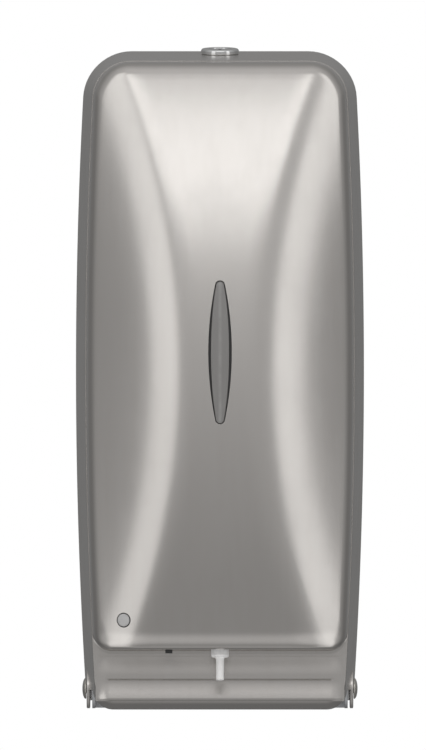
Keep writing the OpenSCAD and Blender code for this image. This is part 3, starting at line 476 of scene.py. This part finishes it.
def turned(name, profile, matrix, sides=96, smooth_angle=32.0):
    """A turned ring from a closed (radius, height) profile round the +Z axis."""
    rings = []
    for i in range(sides):
        a = 2 * math.pi * i / sides
        rings.append([matrix @ Vector((r * MM * math.cos(a), r * MM * math.sin(a), h * MM))
                      for r, h in profile])
    return loft(name, rings, smooth_angle, closed=True)


def fix(piece, body, finish, *nodes):
    """Fixes a piece to a body, names its finish, and lets it stand for its CAD nodes."""
    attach(piece, body)
    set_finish(piece, finish)
    if nodes:
        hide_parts(*nodes)
    return piece


LOCK_R, LOCK_H, BARREL_R, BARREL_H, PLUG_R = 9.5, 2.8, 7.9, 20.0, 5.5


def make_lock():
    """The chromed lock: a domed collar on the threaded barrel, and the plug with its key slot."""
    m = lock_matrix()
    collar = ([(PLUG_R + 0.08, -BARREL_H), (PLUG_R + 0.08, LOCK_H - 0.5)]
              + arc(PLUG_R + 0.35, LOCK_H - 0.3, 0.25, 180, 90, 4)
              + arc(LOCK_R - 1.15, LOCK_H - 1.2, 1.15, 90, 0, 10)
              + [(LOCK_R, 0.35), (LOCK_R - 0.3, 0.05), (BARREL_R, 0.05)])
    threads = []
    for k in range(22):
        h = -0.9 - 0.8 * k
        threads += [(BARREL_R, h), (BARREL_R - 0.35, h - 0.4)]
    collar += threads + [(BARREL_R - 0.4, -BARREL_H + 0.6), (BARREL_R - 0.8, -BARREL_H)]
    fix(turned("lock_collar", collar, m), "cover", "chrome", "lock_body")

    top = LOCK_H - 0.4
    plug = lathe("lock_barrel", [(PLUG_R - 0.4, -BARREL_H), (PLUG_R, -BARREL_H + 0.4), (PLUG_R, top - 0.35)]
                 + arc(PLUG_R - 0.35, top - 0.35, 0.35, 20, 90, 4)
                 + [(PLUG_R - 1.1, top), (PLUG_R - 1.35, top - 0.25), (PLUG_R - 1.7, top - 0.25),
                    (PLUG_R - 1.95, top - 0.02)], m, 96)
    low, high = -26.5, -BARREL_H + 0.3
    square = [(-3, -3), (3, -3), (3, 3), (-3, 3)]
    tang = loft("tang", [[m @ Vector((x * MM, y * MM, h * MM)) for x, y in square] for h in (low, high)])
    combine(plug, tang, "UNION")
    combine(plug, bar("tool", m @ Vector((0, 0, (low - 1) * MM)), m @ Vector((0, 0, (low + 7) * MM)), 1.5))
    slot_shape = [(-0.7, -3.2), (0.7, -3.2), (0.7, -0.9), (1.15, -0.9), (1.15, 0.4), (0.7, 0.4), (0.7, 3.2),
                  (-0.7, 3.2)]
    slot = loft("slot", [[m @ Vector((x * MM, y * MM, h * MM)) for x, y in slot_shape]
                         for h in (top - 3.6, top + 1)])
    combine(plug, slot)
    shade(plug)
    fix(plug, "lock", "chrome", "lock_plug")


def make_rivets():
    """Domed rivets through the ears, with their tails turned over inside the back plate."""
    for number, side in enumerate((-1, 1)):
        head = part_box("hinge_rivets")[1].x / MM
        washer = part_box("hinge_washers")[0].x / MM
        plate = -washer - 0.05
        m = (Matrix.Translation(place(0, PIVOT_D, PIVOT_Z)) @ Matrix.Rotation(side * math.pi / 2, 4, "Y"))
        profile = ([(3.2, plate - 2.7), (3.5, plate - 2.4), (3.5, plate - 1.55), (2.5, plate - 1.5),
                    (2.5, head - 2.0), (5.0, head - 1.98), (5.3, head - 1.7)]
                   + [(5.3 * math.cos(a), head - 1.7 + 1.7 * math.sin(a))
                      for a in (math.pi / 2 * i / 12 for i in range(1, 12))] + [(0.01, head)])
        rivet = lathe("hinge_rivet_%d" % number, profile, m, 72, 40)
        fix(rivet, "chassis", "nickel", "hinge_rivets")


def make_spout():
    """The nozzle: a tapered tube with a rounded lip below a soft collar, and its barb above."""
    m = spout_matrix()
    bore, seat = 1.2, 14.5
    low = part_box("spout")
    tip = -(BASE_Z + SHELF_Z * MM - low[0].z) / MM / math.cos(SPOUT_LEAN) + 0.35
    profile = ([(bore, seat + 9), (bore, tip + 0.5)] + arc(bore + 0.35, tip + 0.35, 0.35, 180, 270, 4)
               + arc(1.65, tip + 0.35, 0.35, 270, 360, 4) + [(2.0, tip + 5), (2.05, -4.2), (2.5, -3.3)]
               + arc(3.9, -2.6, 0.5, 270, 360, 5) + [(4.4, 2.6), (5.3, 3.2), (5.4, seat), (8.8, seat + 0.1)]
               + [(8.9, seat + 1.7), (8.6, seat + 2.0), (2.6, seat + 2.0), (2.1, seat + 4), (2.6, seat + 5),
                  (2.0, seat + 8)])
    fix(turned("spout_nozzle", profile, m, 72), "chassis", "white_plastic", "spout")


def make_indicator():
    """The tinted lens of the lamp, slightly domed, in a dark bezel."""
    m = lamp_matrix()
    lens = lathe("indicator_dome", [(2.9, -5), (3.15, -4.8), (3.15, 0.2)]
                 + [(3.15 * math.cos(a), 0.2 + 0.35 * math.sin(a)) for a in
                    (math.pi / 2 * i / 8 for i in range(1, 8))] + [(0.01, 0.55)], m, 64)
    fix(lens, "cover", "lamp_plastic", "indicator_lens")
    bezel = turned("indicator_bezel", [(3.2, -4.5), (3.2, 0.0), (3.28, 0.08), (3.42, 0.08), (3.5, 0.0),
                                       (3.5, -4.5)], m, 64)
    fix(bezel, "cover", "dark_plastic")


def sight_ring(grow, rise, shrink=1.0, waist=0.0):
    """A ring on the face round the sight window's outline, drawn in at its waist and shrunk."""
    ring = []
    for x, z in sight_points(grow):
        x *= 1 - waist * max(0, 1 - (2 * z / SIGHT_H) ** 2)
        across, up = x * shrink, SIGHT_Z + z * shrink
        ring.append(place(across, face_depth(across, up) + rise, up))
    return ring


SIGHT_WAIST = 0.17


def make_sight_pane():
    """The smoked pane: a flange behind the cover and a crowned middle, in a black ring that stands in for the
    shade in the gap round it (painted shade).
    """
    steps = [(2.4, -3.4), (2.5, -3.2), (2.5, -1.5), (2.4, -1.42), (-0.3, -1.42)]
    rings = [sight_ring(grow, rise) for grow, rise in steps]
    rings += [sight_ring(grow, rise, 1.0, SIGHT_WAIST) for grow, rise in
              ((-0.32, -1.4), (-0.35, -0.8), (-0.5, -0.55), (-0.9, -0.42))]
    rings += [sight_ring(-0.9, -0.42 + 0.3 * (1 - f * f), f, SIGHT_WAIST)
              for f in (0.94, 0.85, 0.72, 0.55, 0.36, 0.16, 0.02)]
    fix(loft("sight_pane", rings), "cover", "smoke_plastic", "sight_window")
    # painted shade: a black rubber ring in the gap between the pane and the cover's cut edge, where there is
    # only shadow
    painted_shade_ring = [sight_ring(-0.05, -1.38), sight_ring(-0.05, -1.0), sight_ring(-0.12, -0.95),
            sight_ring(-0.2, -0.95, 1.0, SIGHT_WAIST), sight_ring(-0.27, -1.0, 1.0, SIGHT_WAIST),
            sight_ring(-0.27, -1.38, 1.0, SIGHT_WAIST)]
    fix(loft("sight_painted_shade_ring", painted_shade_ring, closed=True), "cover", "black_rubber")


# ---- Finishes ----

def add_node(tree, kind, links=None, **settings):
    """A node with its settings made, and its inputs linked or set by name or number."""
    node = tree.nodes.new(kind)
    for key, value in settings.items():
        setattr(node, key, value)
    for key, value in (links or {}).items():
        if isinstance(value, bpy.types.NodeSocket):
            tree.links.new(value, node.inputs[key])
        else:
            node.inputs[key].default_value = value
    return node


def new_group(name, inputs, outputs):
    """An empty shader group with named sockets; inputs come with a kind and a starting value."""
    tree = bpy.data.node_groups.new(name, "ShaderNodeTree")
    for label, kind, value in inputs:
        tree.interface.new_socket(label, in_out="INPUT", socket_type=kind).default_value = value
    for label, kind in outputs:
        tree.interface.new_socket(label, in_out="OUTPUT", socket_type=kind)
    return tree, tree.nodes.new("NodeGroupInput").outputs, tree.nodes.new("NodeGroupOutput")


FLOAT, VECTOR = "NodeSocketFloat", "NodeSocketVector"


def maths(tree, operation, a, b, clamp=False):
    return add_node(tree, "ShaderNodeMath", {0: a, 1: b}, operation=operation, use_clamp=clamp).outputs[0]


def remap(tree, value, low, high, to_low=0.0, to_high=1.0):
    return add_node(tree, "ShaderNodeMapRange", {0: value, 1: low, 2: high, 3: to_low, 4: to_high}).outputs[0]


def object_spot(tree):
    """The place on the piece that a pattern is drawn from."""
    return add_node(tree, "ShaderNodeTexCoord").outputs["Object"]


def stretched(tree, vector, by):
    """A place scaled along each axis, so that a pattern is drawn out."""
    return add_node(tree, "ShaderNodeVectorMath", {0: vector, 1: by}, operation="MULTIPLY").outputs[0]


def noise(tree, vector, scale, detail=3.0, roughness=0.5):
    """Fractal noise between 0 and 1."""
    return add_node(tree, "ShaderNodeTexNoise", {"Vector": vector, "Scale": scale, "Detail": detail,
                                                 "Roughness": roughness}).outputs["Fac"]


def make_edge_group():
    """Edges softened by a radius, with a broken mask where handling has worn them."""
    tree, given, out = new_group(
        "edge_wear", [("Radius", FLOAT, 0.0004), ("Amount", FLOAT, 0.5), ("Breakup", FLOAT, 350.0)],
        [("Mask", FLOAT), ("Normal", VECTOR)])
    soft = add_node(tree, "ShaderNodeBevel", {"Radius": given["Radius"]}, samples=4)
    surface = add_node(tree, "ShaderNodeNewGeometry")
    facing = add_node(tree, "ShaderNodeVectorMath", {0: soft.outputs[0], 1: surface.outputs["Normal"]},
                      operation="DOT_PRODUCT").outputs["Value"]
    edge = remap(tree, facing, 0.995, 0.8)
    spot = object_spot(tree)
    broken = remap(tree, noise(tree, spot, given["Breakup"], 4.0, 0.65), 0.4, 0.62)
    mask = maths(tree, "MULTIPLY", maths(tree, "MULTIPLY", edge, broken), given["Amount"], True)
    tree.links.new(mask, out.inputs["Mask"])
    tree.links.new(soft.outputs[0], out.inputs["Normal"])
    return tree


def make_grain_group():
    """Fine grain, stretched along the way a surface was polished, drawn or moulded."""
    tree, given, out = new_group("surface_grain", [("Scale", FLOAT, 900.0), ("Stretch", VECTOR, (1, 1, 1))],
                                 [("Height", FLOAT), ("Tone", FLOAT)])
    spot = object_spot(tree)
    drawn = stretched(tree, spot, given["Stretch"])
    fine = noise(tree, drawn, given["Scale"], 5.0, 0.6)
    broad = noise(tree, drawn, maths(tree, "MULTIPLY", given["Scale"], 0.13), 2.0)
    tree.links.new(remap(tree, fine, 0.3, 0.7), out.inputs["Height"])
    tree.links.new(maths(tree, "MULTIPLY", maths(tree, "ADD", fine, broad), 0.5), out.inputs["Tone"])
    return tree


def make_smudge_group():
    """Soft uneven patches left by handling and cleaning."""
    tree, given, out = new_group(
        "smudges", [("Scale", FLOAT, 22.0), ("Amount", FLOAT, 1.0)], [("Mask", FLOAT)])
    spot = object_spot(tree)
    patches = remap(tree, noise(tree, spot, given["Scale"], 5.0, 0.62), 0.42, 0.7)
    wipes = stretched(tree, spot, (1.0, 1.0, 0.25))
    streaks = remap(tree, noise(tree, wipes, maths(tree, "MULTIPLY", given["Scale"], 3.5), 3.0), 0.45, 0.75)
    both = maths(tree, "ADD", maths(tree, "MULTIPLY", patches, 0.65), maths(tree, "MULTIPLY", streaks, 0.35))
    tree.links.new(maths(tree, "MULTIPLY", both, given["Amount"], True), out.inputs["Mask"])
    return tree


def make_dust_group():
    """Fine dust that settles on whatever faces up."""
    tree, given, out = new_group(
        "settled_dust", [("Amount", FLOAT, 0.2), ("Scale", FLOAT, 500.0)], [("Mask", FLOAT)])
    up = add_node(tree, "ShaderNodeSeparateXYZ",
                  {0: add_node(tree, "ShaderNodeNewGeometry").outputs["Normal"]}).outputs["Z"]
    spot = object_spot(tree)
    speckle = remap(tree, noise(tree, spot, given["Scale"], 6.0, 0.75), 0.35, 0.75)
    settled = maths(tree, "MULTIPLY", remap(tree, up, 0.35, 1.0), speckle)
    mask = maths(tree, "MULTIPLY", settled, given["Amount"], True)
    tree.links.new(mask, out.inputs["Mask"])
    return tree


EDGE, GRAIN = make_edge_group(), make_grain_group()
SMUDGE, DUST = make_smudge_group(), make_dust_group()


def effect(tree, group, values):
    """One of the shared effects, placed in a material with its own values."""
    node = tree.nodes.new("ShaderNodeGroup")
    node.node_tree = group
    for key, value in values.items():
        node.inputs[key].default_value = value
    return node.outputs


def blend_colour(tree, mask, a, b):
    """Colour a where the mask is 0, b where it is 1."""
    node = add_node(tree, "ShaderNodeMix", {"Factor": mask}, data_type="RGBA")
    for socket, value in ((node.inputs["A"], a), (node.inputs["B"], b)):
        if isinstance(value, bpy.types.NodeSocket):
            tree.links.new(value, socket)
        else:
            socket.default_value = (*value, 1.0)
    return node.outputs["Result"]


def grey(value, warmth=0.0):
    """A grey, warmed or cooled a little."""
    return (value * (1 + warmth), value, value * (1 - warmth))


def make_finish(name, colour, roughness, deep=None, grain=(900.0, (1, 1, 1)), relief=0.00002, worn=None,
                wear=0.5, edge=0.0003, smudge=0.1, dust=0.12, pattern=None, **shader):
    """A finish from its two tones, its (low, high) roughness, grain, edge wear, smudges and dust."""
    material = bpy.data.materials.new(name)
    material.use_nodes = True
    tree = material.node_tree
    tree.nodes.clear()
    body = tree.nodes.new("ShaderNodeBsdfPrincipled")
    skin = effect(tree, GRAIN, {"Scale": grain[0], "Stretch": grain[1]})
    edges = effect(tree, EDGE, {"Radius": edge, "Amount": wear})
    marks = effect(tree, SMUDGE, {"Amount": 1.0})["Mask"]
    dusty = effect(tree, DUST, {"Amount": dust})["Mask"]
    base = blend_colour(tree, remap(tree, skin["Tone"], 0.35, 0.65),
                        deep or tuple(0.88 * c for c in colour), colour)
    if pattern:
        base = pattern(tree, base)
    base = blend_colour(tree, maths(tree, "MULTIPLY", marks, smudge), base, tuple(0.8 * c for c in colour))
    base = blend_colour(tree, edges["Mask"], base, worn or tuple(min(1, 0.25 + 0.85 * c) for c in colour))
    base = blend_colour(tree, dusty, base, grey(0.62, 0.03))
    tree.links.new(base, body.inputs["Base Color"])
    gloss = maths(tree, "ADD", remap(tree, marks, 0.0, 1.0, *roughness),
                  maths(tree, "MULTIPLY", dusty, 0.5), True)
    tree.links.new(gloss, body.inputs["Roughness"])
    bump = add_node(tree, "ShaderNodeBump", {"Height": skin["Height"], "Normal": edges["Normal"],
                                             "Distance": relief, "Strength": 1.0})
    tree.links.new(bump.outputs[0], body.inputs["Normal"])
    for key, value in shader.items():
        body.inputs[key.replace("_", " ")].default_value = value
    out = tree.nodes.new("ShaderNodeOutputMaterial")
    tree.links.new(body.outputs[0], out.inputs["Surface"])
    return material


def object_part(tree, axis):
    """One coordinate of the place on a piece."""
    spot = object_spot(tree)
    return add_node(tree, "ShaderNodeSeparateXYZ", {0: spot}).outputs[axis]


def copper_tracks(tree, base):
    """Paler tracks over the board's copper, running along and across it."""
    spot = object_spot(tree)
    flat = add_node(tree, "ShaderNodeMapping", {"Vector": spot, "Rotation": (0, math.pi / 2, 0)}).outputs[0]
    tracks = add_node(tree, "ShaderNodeTexBrick", {"Vector": flat, "Scale": 90.0, "Mortar Size": 0.035,
                                                   "Brick Width": 0.9, "Row Height": 0.22}, offset=0.37)
    return blend_colour(tree, tracks.outputs["Fac"], base, (0.05, 0.3, 0.11))


def wrap_bands(tree, base):
    """The cell's shrink wrap: a coppery band under its top, and bare steel at both ends."""
    low, high = (corner.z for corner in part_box("cells"))
    height = object_part(tree, "Z")
    band = remap(tree, height, high - 0.0155, high - 0.0152)
    bare = maths(tree, "MAXIMUM", remap(tree, height, high - 0.0022, high - 0.0020),
                 remap(tree, height, low + 0.0008, low + 0.0006))
    return blend_colour(tree, bare, blend_colour(tree, band, base, (0.5, 0.2, 0.06)), grey(0.6))


def painted_sight_highlight(tree, base):
    """A painted highlight: a faint paler line down the middle of the pane, standing in for the light its
    crowned moulding reflects.
    """
    across = object_part(tree, "X")
    # painted highlight: paler colour within 1.2 mm of the pane's middle, broken up by noise
    line = remap(tree, maths(tree, "ABSOLUTE", across, 0.0), 0.0012, 0.0)
    spot = object_spot(tree)
    broken = remap(tree, noise(tree, spot, 160.0, 4.0), 0.3, 0.7, 0.1, 0.5)
    return blend_colour(tree, maths(tree, "MULTIPLY", line, broken), base, grey(0.34, 0.02))


EVEN = (1, 1, 1)                            # grain that runs no particular way
UP_GRAIN = (2600.0, (1, 1, 0.03))
FINISHES = {
    "stainless": make_finish(
        "satin_stainless", grey(0.6, 0.04), (0.2, 0.27), grey(0.585, 0.045), UP_GRAIN, 0.000004,
        grey(0.72), 0.25, 0.0003, 0.06, 0.04, Metallic=1.0),
    "zinc_steel": make_finish(
        "bright_zinc", (0.7, 0.71, 0.72), (0.28, 0.42), (0.62, 0.63, 0.65), (300.0, EVEN), 0.000008,
        grey(0.7), 0.4, 0.0003, 0.2, 0.1, Metallic=1.0),
    "chrome": make_finish(
        "chrome_plate", grey(0.8), (0.06, 0.14), grey(0.77), (500.0, EVEN), 0.000002, (0.7, 0.62, 0.5),
        0.2, 0.0002, 0.1, 0.08, Metallic=1.0),
    "nickel": make_finish(
        "nickel_plate", (0.63, 0.61, 0.57), (0.14, 0.26), (0.55, 0.53, 0.49), (700.0, EVEN), 0.000004,
        grey(0.75), 0.3, 0.0002, 0.15, 0.08, Metallic=1.0),
    "brass": make_finish(
        "turned_brass", (0.72, 0.56, 0.28), (0.2, 0.36), (0.6, 0.44, 0.2), (1200.0, (1, 1, 0.1)),
        0.000006, (0.85, 0.72, 0.45), 0.4, 0.0002, 0.25, 0.1, Metallic=1.0),
    "white_plastic": make_finish(
        "white_moulding", grey(0.8, 0.01), (0.26, 0.38), grey(0.74, 0.015), (1400.0, EVEN), 0.000012,
        grey(0.86), 0.15, 0.0003, 0.12, 0.1),
    "dark_plastic": make_finish(
        "dark_moulding", grey(0.045), (0.38, 0.55), grey(0.03), (1800.0, EVEN), 0.00003, grey(0.16),
        0.5, 0.0003, 0.2, 0.16),
    "tank_plastic": make_finish(
        "tank_moulding", (0.86, 0.87, 0.85), (0.3, 0.45), (0.8, 0.82, 0.8), (420.0, EVEN), 0.00004,
        grey(0.88), 0.2, 0.0006, 0.1, 0.1, Transmission_Weight=0.45, IOR=1.5),
    "pump_plastic": make_finish(
        "acetal_moulding", (0.74, 0.72, 0.65), (0.3, 0.45), (0.68, 0.65, 0.57), (900.0, EVEN),
        0.000015, grey(0.82), 0.2, 0.0003, 0.15, 0.14),
    "gear_plastic": make_finish(
        "nylon_gears", (0.76, 0.74, 0.68), (0.34, 0.5), (0.7, 0.68, 0.6), (1100.0, EVEN), 0.000015,
        grey(0.84), 0.3, 0.0002, 0.25, 0.1),
    "black_rubber": make_finish(
        "black_rubber", grey(0.022), (0.55, 0.75), grey(0.014), (700.0, EVEN), 0.00002, grey(0.06),
        0.3, 0.0003, 0.2, 0.3),
    "hose": make_finish(
        "clear_silicone", (0.78, 0.82, 0.82), (0.14, 0.28), (0.7, 0.74, 0.75), (600.0, EVEN), 0.000008,
        grey(0.85), 0.1, 0.0002, 0.15, 0.12, Transmission_Weight=0.5, IOR=1.42),
    "motor_can": make_finish(
        "drawn_can", (0.58, 0.57, 0.55), (0.24, 0.36), (0.5, 0.49, 0.47), (900.0, (1, 0.06, 1)),
        0.000008, grey(0.7), 0.3, 0.0004, 0.2, 0.08, Metallic=1.0),
    "board": make_finish(
        "solder_mask", (0.02, 0.14, 0.05), (0.22, 0.36), (0.015, 0.11, 0.04), (600.0, EVEN), 0.00001,
        (0.55, 0.5, 0.3), 0.3, 0.0001, 0.2, 0.14, copper_tracks),
    # the smoked pane's colour carries a painted highlight, a paler line down its middle
    "smoke_plastic": make_finish(
        "smoked_pane", grey(0.2, 0.03), (0.16, 0.26), grey(0.18, 0.03), (300.0, (1, 1, 0.2)), 0.000006,
        grey(0.25), 0.1, 0.0002, 0.2, 0.03, painted_sight_highlight, Transmission_Weight=0.15, IOR=1.49),
    "lamp_plastic": make_finish(
        "lamp_diffuser", grey(0.42, 0.02), (0.3, 0.42), grey(0.4), (800.0, EVEN), 0.00001, grey(0.3),
        0.1, 0.0002, 0.15, 0.04, Transmission_Weight=0.1, IOR=1.49),
    "cell_wrap": make_finish(
        "cell_wrap", (0.02, 0.02, 0.022), (0.22, 0.34), (0.016, 0.016, 0.018), (500.0, (1, 1, 0.3)),
        0.00001, grey(0.4), 0.2, 0.0002, 0.2, 0.12, wrap_bands),
}


def paint(piece, material):
    """One material over the whole of a piece."""
    piece.data.materials.clear()
    piece.data.materials.append(material)
    for face in piece.data.polygons:
        face.material_index = 0


def make_pieces():
    """Every piece that is built here rather than carried over."""
    make_cover()
    make_apron_pad()
    make_lock()
    make_rivets()
    make_spout()
    make_indicator()
    make_sight_pane()


def give_finishes():
    """Every node that stays gets the finish of its slot in the record, and every piece its own."""
    slots = {part["node"]: part["material_slot"] for part in frame["record"]["subparts"]}
    for node, piece in frame["nodes"].items():
        paint(piece, FINISHES[slots[node]])
    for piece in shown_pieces():
        if "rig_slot" in piece:
            paint(piece, FINISHES[piece["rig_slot"]])


# ---- Light, floor and background ----

def make_world():
    """A soft grey studio, brighter above the front, that shows plain white behind the object."""
    world = bpy.data.worlds.new("studio")
    world.use_nodes = True
    tree = world.node_tree
    tree.nodes.clear()
    way = add_node(tree, "ShaderNodeTexCoord").outputs["Generated"]
    height = add_node(tree, "ShaderNodeSeparateXYZ", {0: way}).outputs["Z"]
    ramp = add_node(tree, "ShaderNodeValToRGB", {"Fac": remap(tree, height, -1.0, 1.0)})
    stops = [(-90, 0.6), (-50, 0.42), (-16, 0.33), (-8, 0.37), (0, 0.44), (8, 0.53), (14, 0.62), (30, 0.62),
             (60, 0.8), (90, 0.8)]
    table = ramp.color_ramp.elements
    while len(table) < len(stops):
        table.new(0.5)
    for element, (angle, value) in zip(table, stops):
        element.position = (math.sin(math.radians(angle)) + 1) / 2
        element.color = (value, value, value, 1)
    depth = add_node(tree, "ShaderNodeSeparateXYZ", {0: way}).outputs["Y"]
    soft = add_node(tree, "ShaderNodeBackground",
                    {"Color": ramp.outputs[0], "Strength": remap(tree, depth, -0.85, 0.35, 1.0, 0.46)})
    plain = add_node(tree, "ShaderNodeBackground", {"Color": (1, 1, 1, 1)})
    seen = add_node(tree, "ShaderNodeLightPath").outputs["Is Camera Ray"]
    both = add_node(tree, "ShaderNodeMixShader", {0: seen, 1: soft.outputs[0], 2: plain.outputs[0]})
    out = tree.nodes.new("ShaderNodeOutputWorld")
    tree.links.new(both.outputs[0], out.inputs["Surface"])
    bpy.context.scene.world = world


LIGHT_DISTANCE = 2.2                        # metres from the middle of the cover


def softbox(name, azimuth, elevation, wide, high, radiance, mirrored=True):
    """A soft light round the object; its place and size are in degrees, azimuth 0 in front."""
    a, e = math.radians(azimuth), math.radians(elevation)
    middle = place(0, TRAY_D, BODY_H / 2)
    way = Vector((math.sin(a) * math.cos(e), -math.cos(a) * math.cos(e), math.sin(e)))
    data = bpy.data.lights.new(name, "AREA")
    data.shape = "RECTANGLE"
    data.size = 2 * LIGHT_DISTANCE * math.tan(math.radians(wide / 2))
    data.size_y = 2 * LIGHT_DISTANCE * math.tan(math.radians(high / 2))
    data.energy = radiance * math.pi * data.size * data.size_y
    light = bpy.data.objects.new(name, data)
    bpy.context.collection.objects.link(light)
    light.location = middle + way * LIGHT_DISTANCE
    light.rotation_euler = (-way).to_track_quat("-Z", "Y").to_euler()
    light.visible_camera = False
    light.visible_glossy = mirrored


def make_floor():
    """A plain pale floor well below the object."""
    half, z = 5.0, BASE_Z - 0.45
    corners = [(-half, -half, z), (half, -half, z), (half, half, z), (-half, half, z)]
    floor = add_mesh("floor", corners, [(0, 1, 2, 3)])
    material = bpy.data.materials.new("pale_floor")
    material.use_nodes = True
    tree = material.node_tree
    body = tree.nodes["Principled BSDF"]
    tone = noise(tree, object_spot(tree), 6.0, 4.0)
    tree.links.new(blend_colour(tree, tone, grey(0.87), grey(0.9)), body.inputs["Base Color"])
    body.inputs["Roughness"].default_value = 0.7
    paint(floor, material)
    floor.visible_glossy = False


make_pieces()
give_finishes()
make_world()
softbox("top_softbox", 0, 28.5, 44, 15.5, 0.92)
softbox("left_softbox", -41, 0, 24, 80, 0.58)
softbox("right_softbox", 51, 0, 20, 80, 0.68)
softbox("fill_light", 0, 8, 45, 45, 1.2, False)
softbox("ceiling_light", 0, 88, 60, 60, 1.5, False)
make_floor()

bpy.context.scene.view_settings.view_transform = "Standard"
